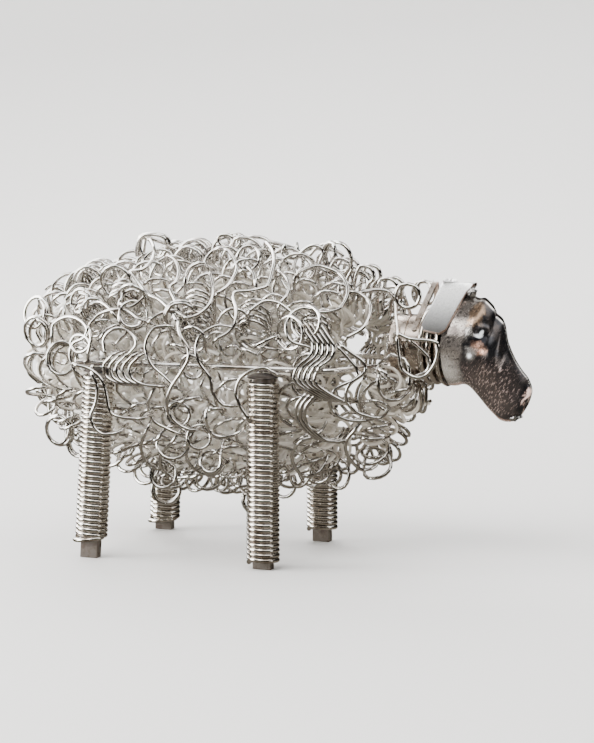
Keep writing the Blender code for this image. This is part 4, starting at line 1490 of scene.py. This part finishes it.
class SHEEP_OT_stage(bpy.types.Operator):
    """Sets the floor, the backdrop, the lights and the camera"""

    bl_idname = "sheep.stage"
    bl_label = "Stage"

    def execute(self, context):
        self.backdrop(context.scene.sheep_stage)
        self.world()
        self.lights()
        self.camera()
        return {"FINISHED"}

    def backdrop(self, settings):
        """A floor that runs up into a wall far behind, turned to face the camera."""
        ahead, right = level_axes()
        bend_start = FLOOR_ENDS[-1]
        profile = [(out, 0.0) for out in FLOOR_ENDS]
        for i in range(1, 13):
            turn = math.pi / 2 * i / 12
            profile.append((bend_start + WALL_BEND * math.sin(turn), WALL_BEND - WALL_BEND * math.cos(turn)))
        profile.append((bend_start + WALL_BEND, WALL_TOP))
        mesh = bmesh.new()
        rows = []
        for out, rise in profile:
            base = ahead * out + Vector((0, 0, rise - 0.00005))
            rows.append([mesh.verts.new(base + right * side) for side in (-FLOOR_HALF, FLOOR_HALF)])
        skin(mesh, rows)
        made, tree, shader = new_finish("floor", 0.0)
        fill(tree, shader, {"Base Color": (*settings.floor_colour, 1.0), "Roughness": 0.6})
        floor = mesh_object("floor", mesh, made, 60.0)
        floor.visible_glossy = False

    def world(self):
        """Dim warm surroundings with soft bright places, and a plain pale view where nothing stands."""
        world = bpy.data.worlds.new("studio")
        bpy.context.scene.world = world
        world.use_nodes = True
        tree = world.node_tree
        towards = add_node(tree, "ShaderNodeTexCoord").outputs["Generated"]
        height = part_of(tree, towards, "Z")
        total = blend_colours(tree, levels(tree, height, 0.0, -0.35), STUDIO_DIM, STUDIO_BELOW)
        band = times(tree, levels(tree, height, *BAND_LOW), levels(tree, height, *BAND_HIGH))
        total = blend_colours(tree, band, total, STUDIO_BAND)
        ahead, right = level_axes()
        for across, away, rise, spread, colour in STUDIO_GLOWS:
            direction = (right * across + ahead * away + Vector((0, 0, rise))).normalized()
            facing = vector_maths(tree, "DOT_PRODUCT", towards, direction, output="Value")
            share = levels(tree, facing, math.cos(math.radians(spread)), 1.0)
            total = vector_maths(tree, "ADD", scaled(tree, colour, share), total)
        lit = fill(tree, tree.nodes["Background"], {"Color": total}).outputs["Background"]
        plain = add_node(tree, "ShaderNodeBackground", {"Color": PLAIN_VIEW}).outputs["Background"]
        seen = add_node(tree, "ShaderNodeLightPath").outputs["Is Camera Ray"]
        mix = add_node(tree, "ShaderNodeMixShader", {"Fac": seen, 1: lit, 2: plain}).outputs["Shader"]
        fill(tree, tree.nodes["World Output"], {"Surface": mix})

    def lights(self):
        for name, at, size, energy, colour in LAMPS:
            light = bpy.data.lights.new(name, "AREA")
            light.shape = "RECTANGLE"
            light.size, light.size_y = size
            light.energy = energy
            light.color = colour
            lamp = bpy.data.objects.new(name, light)
            bpy.context.scene.collection.objects.link(lamp)
            lamp.visible_glossy = False
            lamp.location = at
            lamp.rotation_euler = (LAMP_AIM - Vector(at)).to_track_quat("-Z", "Y").to_euler()

    def camera(self):
        ahead = view_axes()[0]
        data = bpy.data.cameras.new("camera")
        data.lens = VIEW_FOCAL / IMAGE_SIZE[1] * SENSOR
        data.sensor_width = SENSOR
        data.clip_start = 0.01
        camera = bpy.data.objects.new("camera", data)
        bpy.context.scene.collection.objects.link(camera)
        camera.location = place(*VIEW_FROM)
        camera.rotation_euler = ahead.to_track_quat("-Z", "Y").to_euler()
        bpy.context.scene.camera = camera


class SHEEP_PT_panel(bpy.types.Panel):
    """Lists the pieces of the sheep and their settings"""

    bl_idname = "SHEEP_PT_panel"
    bl_label = "Sheep"
    bl_space_type = "VIEW_3D"
    bl_region_type = "UI"
    bl_category = "Sheep"

    def draw(self, context):
        layout = self.layout
        for operator, settings in BUTTONS:
            box = layout.box()
            box.operator(operator)
            if settings:
                group = getattr(context.scene, settings)
                for name in group.__annotations__:
                    box.prop(group, name)


BUTTONS = (
    ("sheep.legs", "sheep_legs"),
    ("sheep.rods", None),
    ("sheep.fleece", "sheep_fleece"),
    ("sheep.neck", None),
    ("sheep.head", "sheep_head"),
    ("sheep.strap", None),
    ("sheep.stage", "sheep_stage"),
)
CLASSES = (
    LegSettings,
    FleeceSettings,
    HeadSettings,
    StageSettings,
    SHEEP_OT_legs,
    SHEEP_OT_rods,
    SHEEP_OT_fleece,
    SHEEP_OT_neck,
    SHEEP_OT_head,
    SHEEP_OT_strap,
    SHEEP_OT_stage,
    SHEEP_PT_panel,
)
SETTINGS = {
    "sheep_legs": LegSettings,
    "sheep_fleece": FleeceSettings,
    "sheep_head": HeadSettings,
    "sheep_stage": StageSettings,
}


def register():
    for kind in CLASSES:
        bpy.utils.register_class(kind)
    for name, kind in SETTINGS.items():
        setattr(bpy.types.Scene, name, PointerProperty(type=kind))


def unregister():
    for name in SETTINGS:
        delattr(bpy.types.Scene, name)
    for kind in reversed(CLASSES):
        bpy.utils.unregister_class(kind)


def main():
    register()
    bpy.ops.sheep.legs()
    bpy.ops.sheep.rods()
    bpy.ops.sheep.fleece()
    bpy.ops.sheep.neck()
    bpy.ops.sheep.head()
    bpy.ops.sheep.strap()
    bpy.ops.sheep.stage()


if __name__ == "__main__":
    main()
